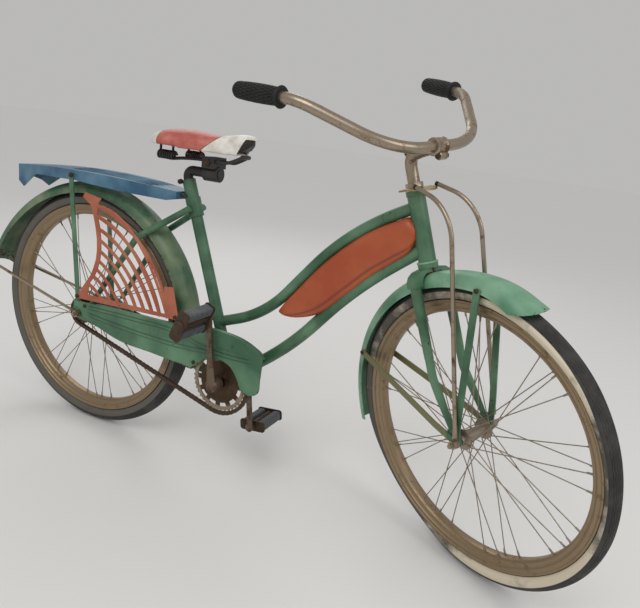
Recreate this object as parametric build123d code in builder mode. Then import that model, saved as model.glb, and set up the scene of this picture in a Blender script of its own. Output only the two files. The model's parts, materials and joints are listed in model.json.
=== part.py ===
from build123d import *
import os
from math import asin, atan2, cos, hypot, pi, radians, sin

# Millimetres. Origin on top of the saddle, +X forward, +Y left, +Z up.
# Frame places below are read ahead of the rear axle and upward, with the frame drawn nose down by LEVEL.
# at() and side() turn them so that both wheels stand on the ground.
SEAT_X = 300.0
LEVEL = radians(0.69)

# Wheels
RIM_R = 287.0
REAR_TYRE_H = 38.0
FRONT_TYRE_H = 36.0
REAR_TYRE_R = RIM_R + REAR_TYRE_H
FRONT_TYRE_R = RIM_R + FRONT_TYRE_H
TYRE_HALF = 25.0
RIM_HALF = 19.5
RIM_DEPTH = 26.0
RIM_WELL_R = RIM_R - RIM_DEPTH
WHEELBASE = 1073.0
# Wheelbase for which the places between bottom bracket and head are written
DRAWN_WHEELBASE = 1073.0
AXLE_R = 4.76
RUN = 0.05
GAP = 0.3
SPOKES_A_SIDE = 18
SPOKE_R = 1.1

# Steering
HEAD_ANGLE = radians(70.4) - LEVEL
STEER = radians(-27.2)
RAKE = 47.0
HEAD_LOW = FRONT_TYRE_R + 40.0
HEAD_LEN = 136.5
HEAD_HIGH = HEAD_LOW + HEAD_LEN
HEAD_R = 18.5
HEAD_BORE_R = 15.5
STEERER_R = 12.7
CUP_R = 21.0
CUP_H = 11.0

# Frame
BB_X = 457.0
BB_Z = 254.0
BB_R = 28.0
BB_HALF = 34.0
SPINDLE_R = 12.0
SEAT_ANGLE = radians(70.5)
SEAT_TUBE_R = 14.3
SEAT_TUBE_LEN = 494.0
SEAT_LUG_R = 18.5
LUG_FROM = SEAT_TUBE_LEN - 90.0
LUG_TO = SEAT_TUBE_LEN - 44.0
POST_R = 12.7
POST_BEND = SEAT_TUBE_LEN + 24.0
POST_Z = BB_Z + POST_BEND * sin(SEAT_ANGLE)
RAIL_Z = POST_Z + 29.7
SADDLE_LOW = RAIL_Z + 24.0
SADDLE_H = 42.0
SEAT_Z = SADDLE_LOW + SADDLE_H
UPPER_R = 13.0
LOWER_R = 14.3
COPE = 0.15
DROPOUT_IN = 55.0
DROPOUT_T = 5.0

# Drive
CHAIN_Y = -48.0
PITCH = 12.7
RING_TEETH = 40
COG_TEETH = 18
CHAIN_W = 8.0
LINK_HALF = 5.0
WAIST_HALF = 3.9
CRANK_LEN = 171.0
CRANK_ANGLE = radians(97.4)
CRANK_IN = 75.5
CRANK_T = 12.0
PEDAL_PIN_R = 5.0

REAR_AXLE_Z = REAR_TYRE_R
RING_R = PITCH / (2 * sin(pi / RING_TEETH))
COG_R = PITCH / (2 * sin(pi / COG_TEETH))

LEFT = Vector(0, 1, 0)
UP = Vector(0, 0, 1)
STEER_UP = Vector(-cos(HEAD_ANGLE), 0, sin(HEAD_ANGLE))
STEER_FWD = Vector(sin(HEAD_ANGLE) * cos(STEER), sin(STEER), cos(HEAD_ANGLE) * cos(STEER))
STEER_LEFT = Vector(-sin(HEAD_ANGLE) * sin(STEER), cos(STEER), -cos(HEAD_ANGLE) * sin(STEER))


FRAME_FWD = Vector(cos(LEVEL), 0, sin(LEVEL))
FRAME_UP = Vector(-sin(LEVEL), 0, cos(LEVEL))


def at(x, y, z):
    return FRAME_FWD * (x - SEAT_X) + LEFT * y + FRAME_UP * (z - SEAT_Z)


def side(y):
    return Plane(origin=at(0, y, 0), x_dir=FRAME_FWD, z_dir=(0, -1, 0))


def level(x, y, z):
    return Plane(origin=at(x, y, z), x_dir=FRAME_FWD, z_dir=FRAME_UP)


REAR_AXLE = at(0, 0, REAR_AXLE_Z)
AXLE_TO_AXLE = Vector(WHEELBASE, 0, FRONT_TYRE_R - REAR_TYRE_R)
STEER_FOOT = REAR_AXLE + AXLE_TO_AXLE - Vector(sin(HEAD_ANGLE), 0, cos(HEAD_ANGLE)) * RAKE


def fork_at(f, y, a):
    return STEER_FOOT + STEER_FWD * f + STEER_LEFT * y + STEER_UP * a


def fork_side(y):
    return Plane(origin=fork_at(0, y, 0), x_dir=STEER_FWD, z_dir=STEER_LEFT * -1)


def seat_at(s):
    return at(BB_X - s * cos(SEAT_ANGLE), 0, BB_Z + s * sin(SEAT_ANGLE))


def rod(p0, p1, r, mode=Mode.ADD):
    run = p1 - p0
    with BuildSketch(Plane(p0, z_dir=run)) as section:
        Circle(r)
    extrude(section.sketch, amount=run.length, mode=mode)


def bent_rod(points, bend, r, mode=Mode.ADD):
    with BuildLine() as line:
        FilletPolyline(*points, radius=bend)
    with BuildSketch(Plane(line.line @ 0, z_dir=line.line % 0)) as section:
        Circle(r)
    sweep(section.sketch, path=line.line, mode=mode)


def cone(p0, p1, r0, r1):
    run = p1 - p0
    with BuildSketch(Plane(p0, z_dir=run)) as first:
        Circle(r0)
    with BuildSketch(Plane(p1, z_dir=run)) as last:
        Circle(r1)
    loft(sections=(first.sketch, last.sketch))


def tapered_stay(points, bend, r0, r1):
    lead = points[1] + (points[2] - points[1]).normalized() * bend
    bent_rod([points[0], points[1], lead], bend, r0)
    cone(lead, points[2], r0, r1)


def flat_bar(points, bend, width, thickness, across):
    with BuildLine() as line:
        FilletPolyline(*points, radius=bend)
    with BuildSketch(Plane(line.line @ 0, x_dir=across, z_dir=line.line % 0)) as section:
        Rectangle(thickness, width)
    sweep(section.sketch, path=line.line)


def inset(outline, d):
    """Each corner moved inward by d along the mean of its two edges' normals."""
    n = len(outline)
    area = sum(outline[i - 1][0] * outline[i][1] - outline[i][0] * outline[i - 1][1] for i in range(n))
    turn = 1 if area > 0 else -1
    moved = []
    for i in range(n):
        (x0, z0), (x1, z1), (x2, z2) = outline[i - 1], outline[i], outline[(i + 1) % n]
        e0 = Vector(x1 - x0, z1 - z0).normalized()
        e1 = Vector(x2 - x1, z2 - z1).normalized()
        inward = Vector(-e0.Y - e1.Y, e0.X + e1.X).normalized() * turn
        moved.append((x1 + inward.X * d, z1 + inward.Y * d))
    return moved


def cushioned(plane, outline, rise, d):
    """Outline lofted to its inset by d at the given rise."""
    sketches = []
    for level_plane, points in ((plane, outline), (plane.offset(rise), inset(outline, d))):
        with BuildSketch(level_plane) as section:
            with BuildLine():
                Polyline(*points, close=True)
            make_face()
        sketches.append(section.sketch)
    loft(sections=sketches, ruled=True)


def strip(points, half):
    """Outline of a band of that half height along the points."""
    return [(x, z + half) for x, z in points] + [(x, z - half) for x, z in reversed(points)]


def plate(plane, outline, thickness, mode=Mode.ADD):
    with BuildSketch(plane) as section:
        with BuildLine():
            Polyline(*outline, close=True)
        make_face()
    extrude(section.sketch, amount=thickness, mode=mode)


def turned(centre, along, out, profile, arc=360.0, mode=Mode.ADD):
    with BuildSketch(Plane(centre, x_dir=out, z_dir=out.cross(along))) as section:
        with BuildLine():
            Polyline(*profile, close=True)
        make_face()
    revolve(section.sketch, axis=Axis(centre, along), revolution_arc=arc, mode=mode)


FRONT_AXLE = fork_at(RAKE, 0, 0)
BB = at(BB_X, 0, BB_Z)

os.makedirs("parts", exist_ok=True)

# Head tube and its bearing cups
with BuildPart() as head_tube:
    rod(fork_at(0, 0, HEAD_LOW), fork_at(0, 0, HEAD_HIGH), HEAD_R)
    rod(fork_at(0, 0, HEAD_LOW), fork_at(0, 0, HEAD_HIGH), HEAD_BORE_R, Mode.SUBTRACT)
head_tube.part.label = "head_tube"

with BuildPart() as headset_cups:
    rod(fork_at(0, 0, HEAD_LOW - CUP_H), fork_at(0, 0, HEAD_LOW - COPE), CUP_R)
    rod(fork_at(0, 0, HEAD_HIGH + COPE), fork_at(0, 0, HEAD_HIGH + CUP_H), CUP_R - 1.0)
    rod(fork_at(0, 0, HEAD_LOW - CUP_H), fork_at(0, 0, HEAD_HIGH + CUP_H), STEERER_R + RUN, Mode.SUBTRACT)
headset_cups.part.label = "headset_cups"

# Main tubes, each an S in the middle plane: place ahead, height, bend radius
UPPER_PATH = ((867.0, 743.5), (732.0, 674.6), (539.0, 436.0), (408.0, 386.0))
UPPER_BENDS = (600.0, 310.0)
LOWER_PATH = ((896.0, 662.8), (759.0, 552.3), (611.0, 369.6), (457.0, 254.0))
LOWER_BENDS = (1000.0, 780.0)


def reach(x):
    """Place ahead that keeps its share of the way from the bottom bracket to the front axle."""
    return BB_X + (x - BB_X) * (WHEELBASE - BB_X) / (DRAWN_WHEELBASE - BB_X) if x > BB_X else x


def main_tube(path, bends, r, mode=Mode.ADD):
    bent_rod([at(reach(x), 0, z) for x, z in path], bends, r, mode)


with BuildPart() as upper_tube:
    main_tube(UPPER_PATH, UPPER_BENDS, UPPER_R)
    rod(fork_at(0, 0, HEAD_LOW), fork_at(0, 0, HEAD_HIGH + 40), HEAD_R + COPE, Mode.SUBTRACT)
    rod(seat_at(60), seat_at(250), SEAT_TUBE_R + COPE, Mode.SUBTRACT)
upper_tube.part.label = "upper_tube"

with BuildPart() as lower_tube:
    main_tube(LOWER_PATH, LOWER_BENDS, LOWER_R)
    rod(fork_at(0, 0, HEAD_LOW - 40), fork_at(0, 0, HEAD_HIGH), HEAD_R + COPE, Mode.SUBTRACT)
    rod(at(BB_X, 60, BB_Z), at(BB_X, -60, BB_Z), BB_R + COPE, Mode.SUBTRACT)
lower_tube.part.label = "lower_tube"

# Seat tube with its lug and clamp collar: from, to, radius
COLLAR_R = 16.0
SEAT_STEPS = ((0.0, SEAT_TUBE_LEN, SEAT_TUBE_R), (LUG_FROM, LUG_TO, SEAT_LUG_R), (LUG_TO, SEAT_TUBE_LEN, COLLAR_R))
POST_BORE_FROM = SEAT_TUBE_LEN - 144.0
with BuildPart() as seat_tube:
    for s0, s1, r in SEAT_STEPS:
        rod(seat_at(s0), seat_at(s1), r)
    rod(seat_at(POST_BORE_FROM), seat_at(SEAT_TUBE_LEN), POST_R + 0.04, Mode.SUBTRACT)
    rod(at(BB_X, 60, BB_Z), at(BB_X, -60, BB_Z), BB_R + COPE, Mode.SUBTRACT)
seat_tube.part.label = "seat_tube"

with BuildPart() as bottom_bracket_shell:
    rod(at(BB_X, BB_HALF, BB_Z), at(BB_X, -BB_HALF, BB_Z), BB_R)
    rod(at(BB_X, BB_HALF, BB_Z), at(BB_X, -BB_HALF, BB_Z), SPINDLE_R + RUN, Mode.SUBTRACT)
bottom_bracket_shell.part.label = "bottom_bracket_shell"

# Stays: ahead, half spread, height
CHAIN_STAY_R = 8.0
CHAIN_STAY_PATH = ((442.0, 26.5, 256.0), (300.0, 39.5, 278.0), (66.0, 55.0, 314.0))
SEAT_STAY_R = 8.0
SEAT_STAY_END_R = 6.0
STAY_TOP = (LUG_FROM + LUG_TO) / 2
SEAT_STAY_PATH = (
    (BB_X + 8.0 - STAY_TOP * cos(SEAT_ANGLE), 25.3, BB_Z + STAY_TOP * sin(SEAT_ANGLE)), (180.0, 47.0, 563.0),
    (36.0, 58.9, 350.0),
)
DROPOUT = ((-24, 312), (-24, 338), (-8, 350), (20, 350), (82, 323), (82, 304), (20, 306))
with BuildPart() as chain_stays:
    for s in (1, -1):
        bent_rod([at(x, s * y, z) for x, y, z in CHAIN_STAY_PATH], 250, CHAIN_STAY_R)
        y0 = DROPOUT_IN if s < 0 else DROPOUT_IN + DROPOUT_T
        plate(side(s * y0), DROPOUT, DROPOUT_T)
    rod(at(0, 80, REAR_AXLE_Z), at(0, -80, REAR_AXLE_Z), AXLE_R + 0.2, Mode.SUBTRACT)
    rod(at(BB_X, 60, BB_Z), at(BB_X, -60, BB_Z), BB_R + COPE, Mode.SUBTRACT)
chain_stays.part.label = "chain_stays"

with BuildPart() as seat_stays:
    for s in (1, -1):
        tapered_stay([at(x, s * y, z) for x, y, z in SEAT_STAY_PATH], 60, SEAT_STAY_R, SEAT_STAY_END_R)
    with Locations(level(0, 0, REAR_AXLE_Z)):
        Box(120, 160, 54, mode=Mode.SUBTRACT)
    rod(seat_at(LUG_FROM - 24), seat_at(LUG_TO + 20), SEAT_LUG_R + COPE, Mode.SUBTRACT)
seat_stays.part.label = "seat_stays"

# Tank between the two main tubes
TANK_HALF = 24.0
TANK = (
    (857, 722), (779, 680), (729, 640), (677, 588), (625, 522), (576, 456), (613, 450), (642, 455),
    (677, 470), (743, 530), (793, 582), (841, 623), (866, 645), (879, 668), (877, 694),
)
TANK_CLEAR = 0.3
TANK_ROUND = 9.0
with BuildPart() as tank:
    core = TANK_HALF - TANK_ROUND
    panel = [(reach(x), z) for x, z in TANK]
    plate(side(core), panel, 2 * core)
    cushioned(side(-core), panel, TANK_ROUND, TANK_ROUND)
    cushioned(side(core), panel, -TANK_ROUND, TANK_ROUND)
    main_tube(UPPER_PATH, UPPER_BENDS, UPPER_R + TANK_CLEAR, Mode.SUBTRACT)
    main_tube(LOWER_PATH, LOWER_BENDS, LOWER_R + TANK_CLEAR, Mode.SUBTRACT)
    rod(fork_at(0, 0, HEAD_LOW), fork_at(0, 0, HEAD_HIGH), HEAD_R + 1.0, Mode.SUBTRACT)
tank.part.label = "tank"

# Fenders: domed section as share of half width and share of depth
FENDER_T = 2.0
DOME = ((-1.0, 0.0), (-0.93, 0.45), (-0.66, 0.82), (-0.3, 0.98), (0.3, 0.98), (0.66, 0.82), (0.93, 0.45), (1.0, 0.0))


def fender_section(edge_r, crown_r, half):
    depth = crown_r - edge_r
    outer = [(edge_r + v * depth, u * half) for u, v in DOME]
    inner = [(edge_r + v * (depth - FENDER_T), u * (half - FENDER_T)) for u, v in reversed(DOME)]
    return outer + inner


REAR_FENDER_EDGE_R = REAR_TYRE_R - 7.0
REAR_FENDER_CROWN_R = REAR_TYRE_R + 23.0
REAR_FENDER_HALF = 35.0
REAR_FENDER_ENDS = (radians(-7.0), radians(105.0))
# The tail runs on a wider circle, so it stands away from the tyre
TAIL_WIDER = 120.0
TAIL_END = radians(158.0)
FRONT_FENDER_EDGE_R = FRONT_TYRE_R - 8.0
FRONT_FENDER_CROWN_R = FRONT_TYRE_R + 20.0
FRONT_FENDER_HALF = 31.0
FRONT_FENDER_ENDS = (radians(72.0), radians(177.0))
# The beak opens out ahead of the fender and is cut level underneath
BEAK_ANGLE = radians(44.0)
BEAK_HALF = 42.0
BEAK_EDGE_R = FRONT_TYRE_R - 27.0
BEAK_LOW = FRONT_TYRE_R - 61.0


def tail_at(a, r, y):
    """Place on the tail: angle about its own middle, radius there, y left."""
    middle = REAR_AXLE - Vector(cos(REAR_FENDER_ENDS[1]), 0, sin(REAR_FENDER_ENDS[1])) * TAIL_WIDER
    return middle + Vector(cos(a), 0, sin(a)) * (r + TAIL_WIDER) + LEFT * y


with BuildPart() as rear_fender:
    a0, a1 = REAR_FENDER_ENDS
    turned(REAR_AXLE, LEFT, Vector(cos(a1), 0, sin(a1)),
           fender_section(REAR_FENDER_EDGE_R, REAR_FENDER_CROWN_R, REAR_FENDER_HALF), (a1 - a0) * 180 / pi)
    turned(tail_at(0, -TAIL_WIDER, 0), LEFT, Vector(cos(TAIL_END), 0, sin(TAIL_END)),
           fender_section(REAR_FENDER_EDGE_R + TAIL_WIDER, REAR_FENDER_CROWN_R + TAIL_WIDER, REAR_FENDER_HALF),
           (TAIL_END - a1) * 180 / pi)
rear_fender.part.label = "rear_fender"

with BuildPart() as front_fender:
    a0, a1 = FRONT_FENDER_ENDS
    turned(FRONT_AXLE, STEER_LEFT, STEER_FWD * cos(a1) + STEER_UP * sin(a1),
           fender_section(FRONT_FENDER_EDGE_R, FRONT_FENDER_CROWN_R, FRONT_FENDER_HALF), (a1 - a0) * 180 / pi)
    beak = []
    for a, edge_r, half in ((a0, FRONT_FENDER_EDGE_R, FRONT_FENDER_HALF),
                            ((a0 + BEAK_ANGLE) / 2, (FRONT_FENDER_EDGE_R + BEAK_EDGE_R) / 2, BEAK_HALF - 3),
                            (BEAK_ANGLE, BEAK_EDGE_R, BEAK_HALF)):
        out = STEER_FWD * cos(a) + STEER_UP * sin(a)
        with BuildSketch(Plane(FRONT_AXLE, x_dir=out, z_dir=out.cross(STEER_LEFT))) as section:
            with BuildLine():
                Polyline(*fender_section(edge_r, FRONT_FENDER_CROWN_R, half), close=True)
            make_face()
        beak.append(section.sketch)
    loft(sections=beak, ruled=True)
    ahead = FRONT_FENDER_CROWN_R - 13
    under = ((ahead - 150, BEAK_LOW), (ahead, BEAK_LOW), (ahead, BEAK_LOW - 162), (ahead - 150, BEAK_LOW - 162))
    plate(fork_side(80), under, 160, Mode.SUBTRACT)
front_fender.part.label = "front_fender"

# Axle stack outward from the dropout
EYE_R = 10.0
STRUT_IN = DROPOUT_IN + DROPOUT_T + GAP
STRUT_T = 3.0
BRAKE_IN = STRUT_IN + STRUT_T + GAP
BRACE_IN_RIGHT = STRUT_IN + STRUT_T + GAP
BRACE_IN_LEFT = BRAKE_IN + STRUT_T + GAP
BRACE_T = 3.0
NUT_T = 9.0
NUT_FLATS = 17.0
AXLE_SPARE = 8.0


def eye(centre, along, y0, y1, bore=AXLE_R + 0.15):
    rod(centre + along * y0, centre + along * y1, EYE_R)
    rod(centre + along * y0, centre + along * y1, bore, Mode.SUBTRACT)


def nut(centre, along, y0, y1):
    with BuildSketch(Plane(centre + along * y0, z_dir=along * (1 if y1 > y0 else -1))) as section:
        RegularPolygon(NUT_FLATS / 2, 6, major_radius=False)
    extrude(section.sketch, amount=abs(y1 - y0))


with BuildPart() as rear_axle:
    right_end = BRACE_IN_RIGHT + BRACE_T + GAP
    left_end = BRACE_IN_LEFT + BRACE_T + GAP
    out = NUT_T + AXLE_SPARE
    rod(REAR_AXLE + LEFT * (left_end + out), REAR_AXLE - LEFT * (right_end + out), AXLE_R)
    nut(REAR_AXLE, LEFT, left_end, left_end + NUT_T)
    nut(REAR_AXLE, LEFT, -right_end, -right_end - NUT_T)
rear_axle.part.label = "rear_axle"

BRAKE_ARM = ((-8, 316), (-8, 334), (60, 326), (170, 306), (170, 292), (60, 306))
with BuildPart() as brake_arm:
    plate(side(BRAKE_IN + STRUT_T), BRAKE_ARM, STRUT_T)
    rod(at(0, 90, REAR_AXLE_Z), at(0, 0, REAR_AXLE_Z), AXLE_R + 0.15, Mode.SUBTRACT)
brake_arm.part.label = "brake_arm"

TAIL_BRACE_R = 4.0
TAIL_BRACE_Y = REAR_FENDER_HALF + GAP + TAIL_BRACE_R
with BuildPart() as rear_fender_braces:
    for s, y0 in ((1, BRACE_IN_LEFT), (-1, BRACE_IN_RIGHT)):
        eye(REAR_AXLE, LEFT, s * y0, s * (y0 + BRACE_T))
        tail = tail_at(TAIL_END - radians(1.5), REAR_FENDER_EDGE_R + 6, s * TAIL_BRACE_Y)
        root = REAR_AXLE + LEFT * (s * (y0 + BRACE_T / 2))
        out = Vector(tail.X - root.X, 0, tail.Z - root.Z).normalized()
        rod(root + out * (EYE_R - 0.5), tail, TAIL_BRACE_R)
    rod(at(0, 90, REAR_AXLE_Z), at(0, -90, REAR_AXLE_Z), AXLE_R + 0.15, Mode.SUBTRACT)
    with Locations(level(0, 0, REAR_AXLE_Z)):
        Box(60, 2 * BRACE_IN_RIGHT, 60, mode=Mode.SUBTRACT)
rear_fender_braces.part.label = "rear_fender_braces"

# Rack: arched pressed tray, plan and side outlines
RACK_T = 2.0
RACK_PLAN = ((-269, 24), (-255, 38), (-185, 50), (-80, 60), (40, 60), (160, 52), (282, 32))
RACK_TOP = ((-262.0, 688.0), (0.0, 702.0), (283.0, 690.0))
RACK_SKIRT = ((283, 672), (255, 666), (125, 669), (-20, 676), (-172, 672), (-231, 631), (-271, 653))
RACK_SLOTS = (-36.0, -18.0, 0.0, 18.0, 36.0)
RACK_SLOT = (-45.0, 215.0, 9.0)


def rack_block(t):
    """Space inside the tray's walls at depth t from its skin."""
    plan = [(x - SEAT_X, y - t) for x, y in RACK_PLAN]
    plan[0] = (plan[0][0] + t, plan[0][1])
    plan[-1] = (plan[-1][0] - t, plan[-1][1])
    with BuildSketch(side(90)) as profile:
        with BuildLine():
            tail, mid, front = [(x, z - t) for x, z in RACK_TOP]
            ThreePointArc(tail, mid, front)
            Polyline(front, *[(x, z - 3 * t) for x, z in RACK_SKIRT], tail)
        make_face()
    extrude(profile.sketch, amount=180)
    with BuildSketch(level(SEAT_X, 0, 500)) as outline:
        with BuildLine():
            Polyline(*plan, *[(x, -y) for x, y in reversed(plan)], close=True)
        make_face()
    extrude(outline.sketch, amount=400, mode=Mode.INTERSECT)


with BuildPart() as rack_hollow:
    rack_block(RACK_T)

with BuildPart() as rack:
    rack_block(0.0)
    add(rack_hollow.part, mode=Mode.SUBTRACT)
    x0, x1, w = RACK_SLOT
    for y in RACK_SLOTS:
        with Locations(level((x0 + x1) / 2, y, 690)):
            Box(x1 - x0, w, 60, mode=Mode.SUBTRACT)
rack.part.label = "rack"

STRUT_W = 14.0
STRUT_TOP = (-32.0, 694.0)
with BuildPart() as rack_struts:
    x, z = STRUT_TOP
    strut = ((-STRUT_W / 2, REAR_AXLE_Z), (x - STRUT_W / 2, z), (x + STRUT_W / 2, z), (STRUT_W / 2, REAR_AXLE_Z))
    for s in (1, -1):
        y0 = STRUT_IN + STRUT_T if s > 0 else STRUT_IN
        plate(side(s * y0), strut, STRUT_T)
        rod(REAR_AXLE + LEFT * (s * STRUT_IN), REAR_AXLE + LEFT * (s * (STRUT_IN + STRUT_T)), EYE_R)
    rod(at(0, 90, REAR_AXLE_Z), at(0, -90, REAR_AXLE_Z), AXLE_R + 0.15, Mode.SUBTRACT)
rack_struts.part.label = "rack_struts"

# Rack's front bracket to the seat tube
with BuildPart() as rack_bracket:
    with Locations(level(289, 0, 683)):
        Box(28, 40, 5)
    rod(seat_at(SEAT_TUBE_LEN / 2), seat_at(SEAT_TUBE_LEN), SEAT_LUG_R + COPE, Mode.SUBTRACT)
    with Locations(level(262, 0, 683)):
        Box(41, 60, 40, mode=Mode.SUBTRACT)
rack_bracket.part.label = "rack_bracket"

# Skirt guard, on the right side only: root of each bar on the spine, its middle and its foot on the rail
GUARD_IN = 65.5
GUARD_T = 2.0
GUARD_BAR_W = 8.5
GUARD_BOSS = (1.0, 374.0)
GUARD_BOSS_R = 4.0
# Cap, spine and its back edge; rail with the end plate
GUARD_SPINE = (
    (16, 640), (24, 652), (78, 644), (70, 632), (66, 604), (76, 568), (80, 540), (81, 512), (78, 486), (70, 461),
    (60, 440), (44, 419), (36, 386), (-6, 368), (28, 416), (46, 440), (56, 462), (64, 486), (67, 512), (66, 540), (61, 568),
    (52, 600), (44, 622),
)
GUARD_RAIL = ((-6, 368), (36, 386), (294, 393), (289, 462), (316, 466), (334, 400), (334, 386))
GUARD_BARS = (
    (62, 624, 193, 566, 304, 384), (64, 598, 181, 535, 280, 383), (68, 568, 168, 510, 256, 383),
    (72, 540, 158, 484, 230, 383), (73, 511, 145, 465, 204, 381), (71, 485, 128, 445, 176, 380),
    (64, 461, 109, 428, 146, 379), (54, 440, 93, 415, 118, 379), (36, 417, 68, 399, 90, 378),
)


def skirt_guard(y0):
    plate(side(y0), GUARD_SPINE, GUARD_T)
    plate(side(y0), GUARD_RAIL, GUARD_T)
    x, z = GUARD_BOSS
    face = STRUT_IN + STRUT_T + GAP
    s = 1 if y0 > 0 else -1
    rod(at(x, s * face, z), at(x, s * (GUARD_IN + GUARD_T / 2), z), GUARD_BOSS_R)
    for xr, zr, xm, zm, xf, zf in GUARD_BARS:
        with BuildLine(side(y0 - GUARD_T / 2)) as line:
            ThreePointArc((xr, zr), (xm, zm), (xf, zf))
        with BuildSketch(Plane(line.line @ 0, x_dir=(0, 1, 0), z_dir=line.line % 0)) as section:
            Rectangle(GUARD_T, GUARD_BAR_W)
        sweep(section.sketch, path=line.line)


with BuildPart() as skirt_guard_right:
    skirt_guard(-GUARD_IN)
skirt_guard_right.part.label = "skirt_guard_right"

# Chain guard: pressed panel outside the chain with a lip folded over it
CHAIN_GUARD_IN = 65.5
CHAIN_GUARD_T = 2.0
CHAIN_GUARD_LIP = 11.0
CHAIN_GUARD_TOP = ((-12, 359), (322, 374), (384, 384), (435, 388), (519, 382), (578, 356))
CHAIN_GUARD_LOW = (
    (582, 338), (574, 260), (538, 254), (521, 280), (497, 310), (458, 318), (408, 297), (390, 275), (351, 277),
    (262, 281), (144, 287), (26, 318), (14, 338), (-12, 345),
)
# Two pressed ribs from the tail to the hood, and the hood's raised panel
CHAIN_GUARD_RIBS = (
    ((36, 351), (200, 356), (318, 357), (400, 342), (448, 335), (564, 337)),
    ((36, 331), (140, 325), (241, 322), (330, 322), (422, 327)),
)
RIB_HALF = 4.0
RIB_RISE = 1.6
HOOD = ((372, 366), (435, 377), (515, 371), (562, 350), (448, 344), (410, 349))
with BuildPart() as chain_guard:
    plate(side(-CHAIN_GUARD_IN), CHAIN_GUARD_TOP + CHAIN_GUARD_LOW, CHAIN_GUARD_T)
    lip = [(60, 362.2)] + [p for p in CHAIN_GUARD_TOP if p[0] > 60]
    under = [(x, z - CHAIN_GUARD_T) for x, z in reversed(lip)]
    plate(side(-CHAIN_GUARD_IN + CHAIN_GUARD_LIP), lip + under, CHAIN_GUARD_LIP)
    face = side(-CHAIN_GUARD_IN - CHAIN_GUARD_T)
    for rib in CHAIN_GUARD_RIBS:
        plate(face, strip(rib, RIB_HALF), RIB_RISE)
    cushioned(face, HOOD, RIB_RISE, 5.0)
chain_guard.part.label = "chain_guard"

# Chain: one fixed loop of links round chainring and sprocket, its edge waisted at mid-link
span = hypot(BB_X, REAR_AXLE_Z - BB_Z)
line_angle = atan2(REAR_AXLE_Z - BB_Z, -BB_X)
wrap = asin((RING_R - COG_R) / span)
straight = span * cos(wrap)
ring_arc = RING_R * (pi + 2 * wrap)
cog_arc = COG_R * (pi - 2 * wrap)
loop = 2 * straight + ring_arc + cog_arc
links = round(loop / PITCH / 2) * 2


def loop_point(d, off):
    """Point at length d along the loop, off outward from the pitch line."""
    d = d % loop
    high = line_angle - pi / 2 + wrap
    low = line_angle + pi / 2 - wrap
    if d < ring_arc:
        a = high - d / RING_R
        return BB_X + (RING_R + off) * cos(a), BB_Z + (RING_R + off) * sin(a)
    d -= ring_arc
    if d < straight:
        x0 = BB_X + (RING_R + off) * cos(low)
        z0 = BB_Z + (RING_R + off) * sin(low)
        return x0 + d * cos(low - pi / 2), z0 + d * sin(low - pi / 2)
    d -= straight
    if d < cog_arc:
        a = low - d / COG_R
        return (COG_R + off) * cos(a), REAR_AXLE_Z + (COG_R + off) * sin(a)
    d -= cog_arc
    x0 = (COG_R + off) * cos(high)
    z0 = REAR_AXLE_Z + (COG_R + off) * sin(high)
    return x0 + d * cos(high - pi / 2), z0 + d * sin(high - pi / 2)


with BuildPart() as chain:
    step = loop / (2 * links)
    half = [LINK_HALF, WAIST_HALF]
    outer = [loop_point(i * step, half[i % 2]) for i in range(2 * links)]
    inner = [loop_point(i * step, -half[i % 2]) for i in range(2 * links)]
    plate(side(CHAIN_Y + CHAIN_W / 2), outer, CHAIN_W)
    plate(side(CHAIN_Y + CHAIN_W / 2), inner, CHAIN_W, Mode.SUBTRACT)
chain.part.label = "chain"

# Rear sprocket: tooth tips end under the links
SPROCKET_T = 3.0
TIP_GAP = 0.4
DRIVER_R = 15.0


def toothed(centre, teeth, pitch_r, y0):
    tip = pitch_r - LINK_HALF - TIP_GAP
    root = tip - 3.0
    turn = 2 * pi / teeth
    outline = []
    for i in range(teeth):
        for share, r in ((-0.34, root), (-0.12, tip), (0.12, tip), (0.34, root)):
            a = (i + share) * turn
            outline.append((centre[0] + r * cos(a), centre[1] + r * sin(a)))
    plate(side(y0), outline, SPROCKET_T)


with BuildPart() as rear_sprocket:
    toothed((0, REAR_AXLE_Z), COG_TEETH, COG_R, CHAIN_Y + SPROCKET_T / 2)
    rod(REAR_AXLE + LEFT * (CHAIN_Y + 10), REAR_AXLE + LEFT * (CHAIN_Y - 5), DRIVER_R)
    rod(REAR_AXLE + LEFT * 20, REAR_AXLE - LEFT * 90, AXLE_R + RUN, Mode.SUBTRACT)
rear_sprocket.part.label = "rear_sprocket"

# Chainring: rim, ring of long openings, middle disc with curved slots
RING_RIM_IN = 64.0
RING_DISC_R = 54.0
RING_ARMS = 6
RING_ARM_W = 12.0
RING_SLOT_R = 38.0
with BuildPart() as chainring:
    toothed((BB_X, BB_Z), RING_TEETH, RING_R, CHAIN_Y + SPROCKET_T / 2)
    with BuildSketch(side(CHAIN_Y + SPROCKET_T)) as openings:
        with Locations((BB_X, BB_Z)):
            Circle(RING_RIM_IN)
            Circle(RING_DISC_R, mode=Mode.SUBTRACT)
            for i in range(RING_ARMS):
                Rectangle(4 * RING_RIM_IN, RING_ARM_W, rotation=i * 180 / RING_ARMS, mode=Mode.SUBTRACT)
    extrude(openings.sketch, amount=2 * SPROCKET_T, mode=Mode.SUBTRACT)
    with BuildSketch(side(CHAIN_Y + SPROCKET_T)) as slots:
        with Locations((BB_X, BB_Z)):
            with PolarLocations(0.001, 3):
                SlotArc(CenterArc((0, 0), RING_SLOT_R, 20, 80), 9)
    extrude(slots.sketch, amount=2 * SPROCKET_T, mode=Mode.SUBTRACT)
    rod(at(BB_X, 0, BB_Z), at(BB_X, -90, BB_Z), SPINDLE_R + 0.1, Mode.SUBTRACT)
chainring.part.label = "chainring"

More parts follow.
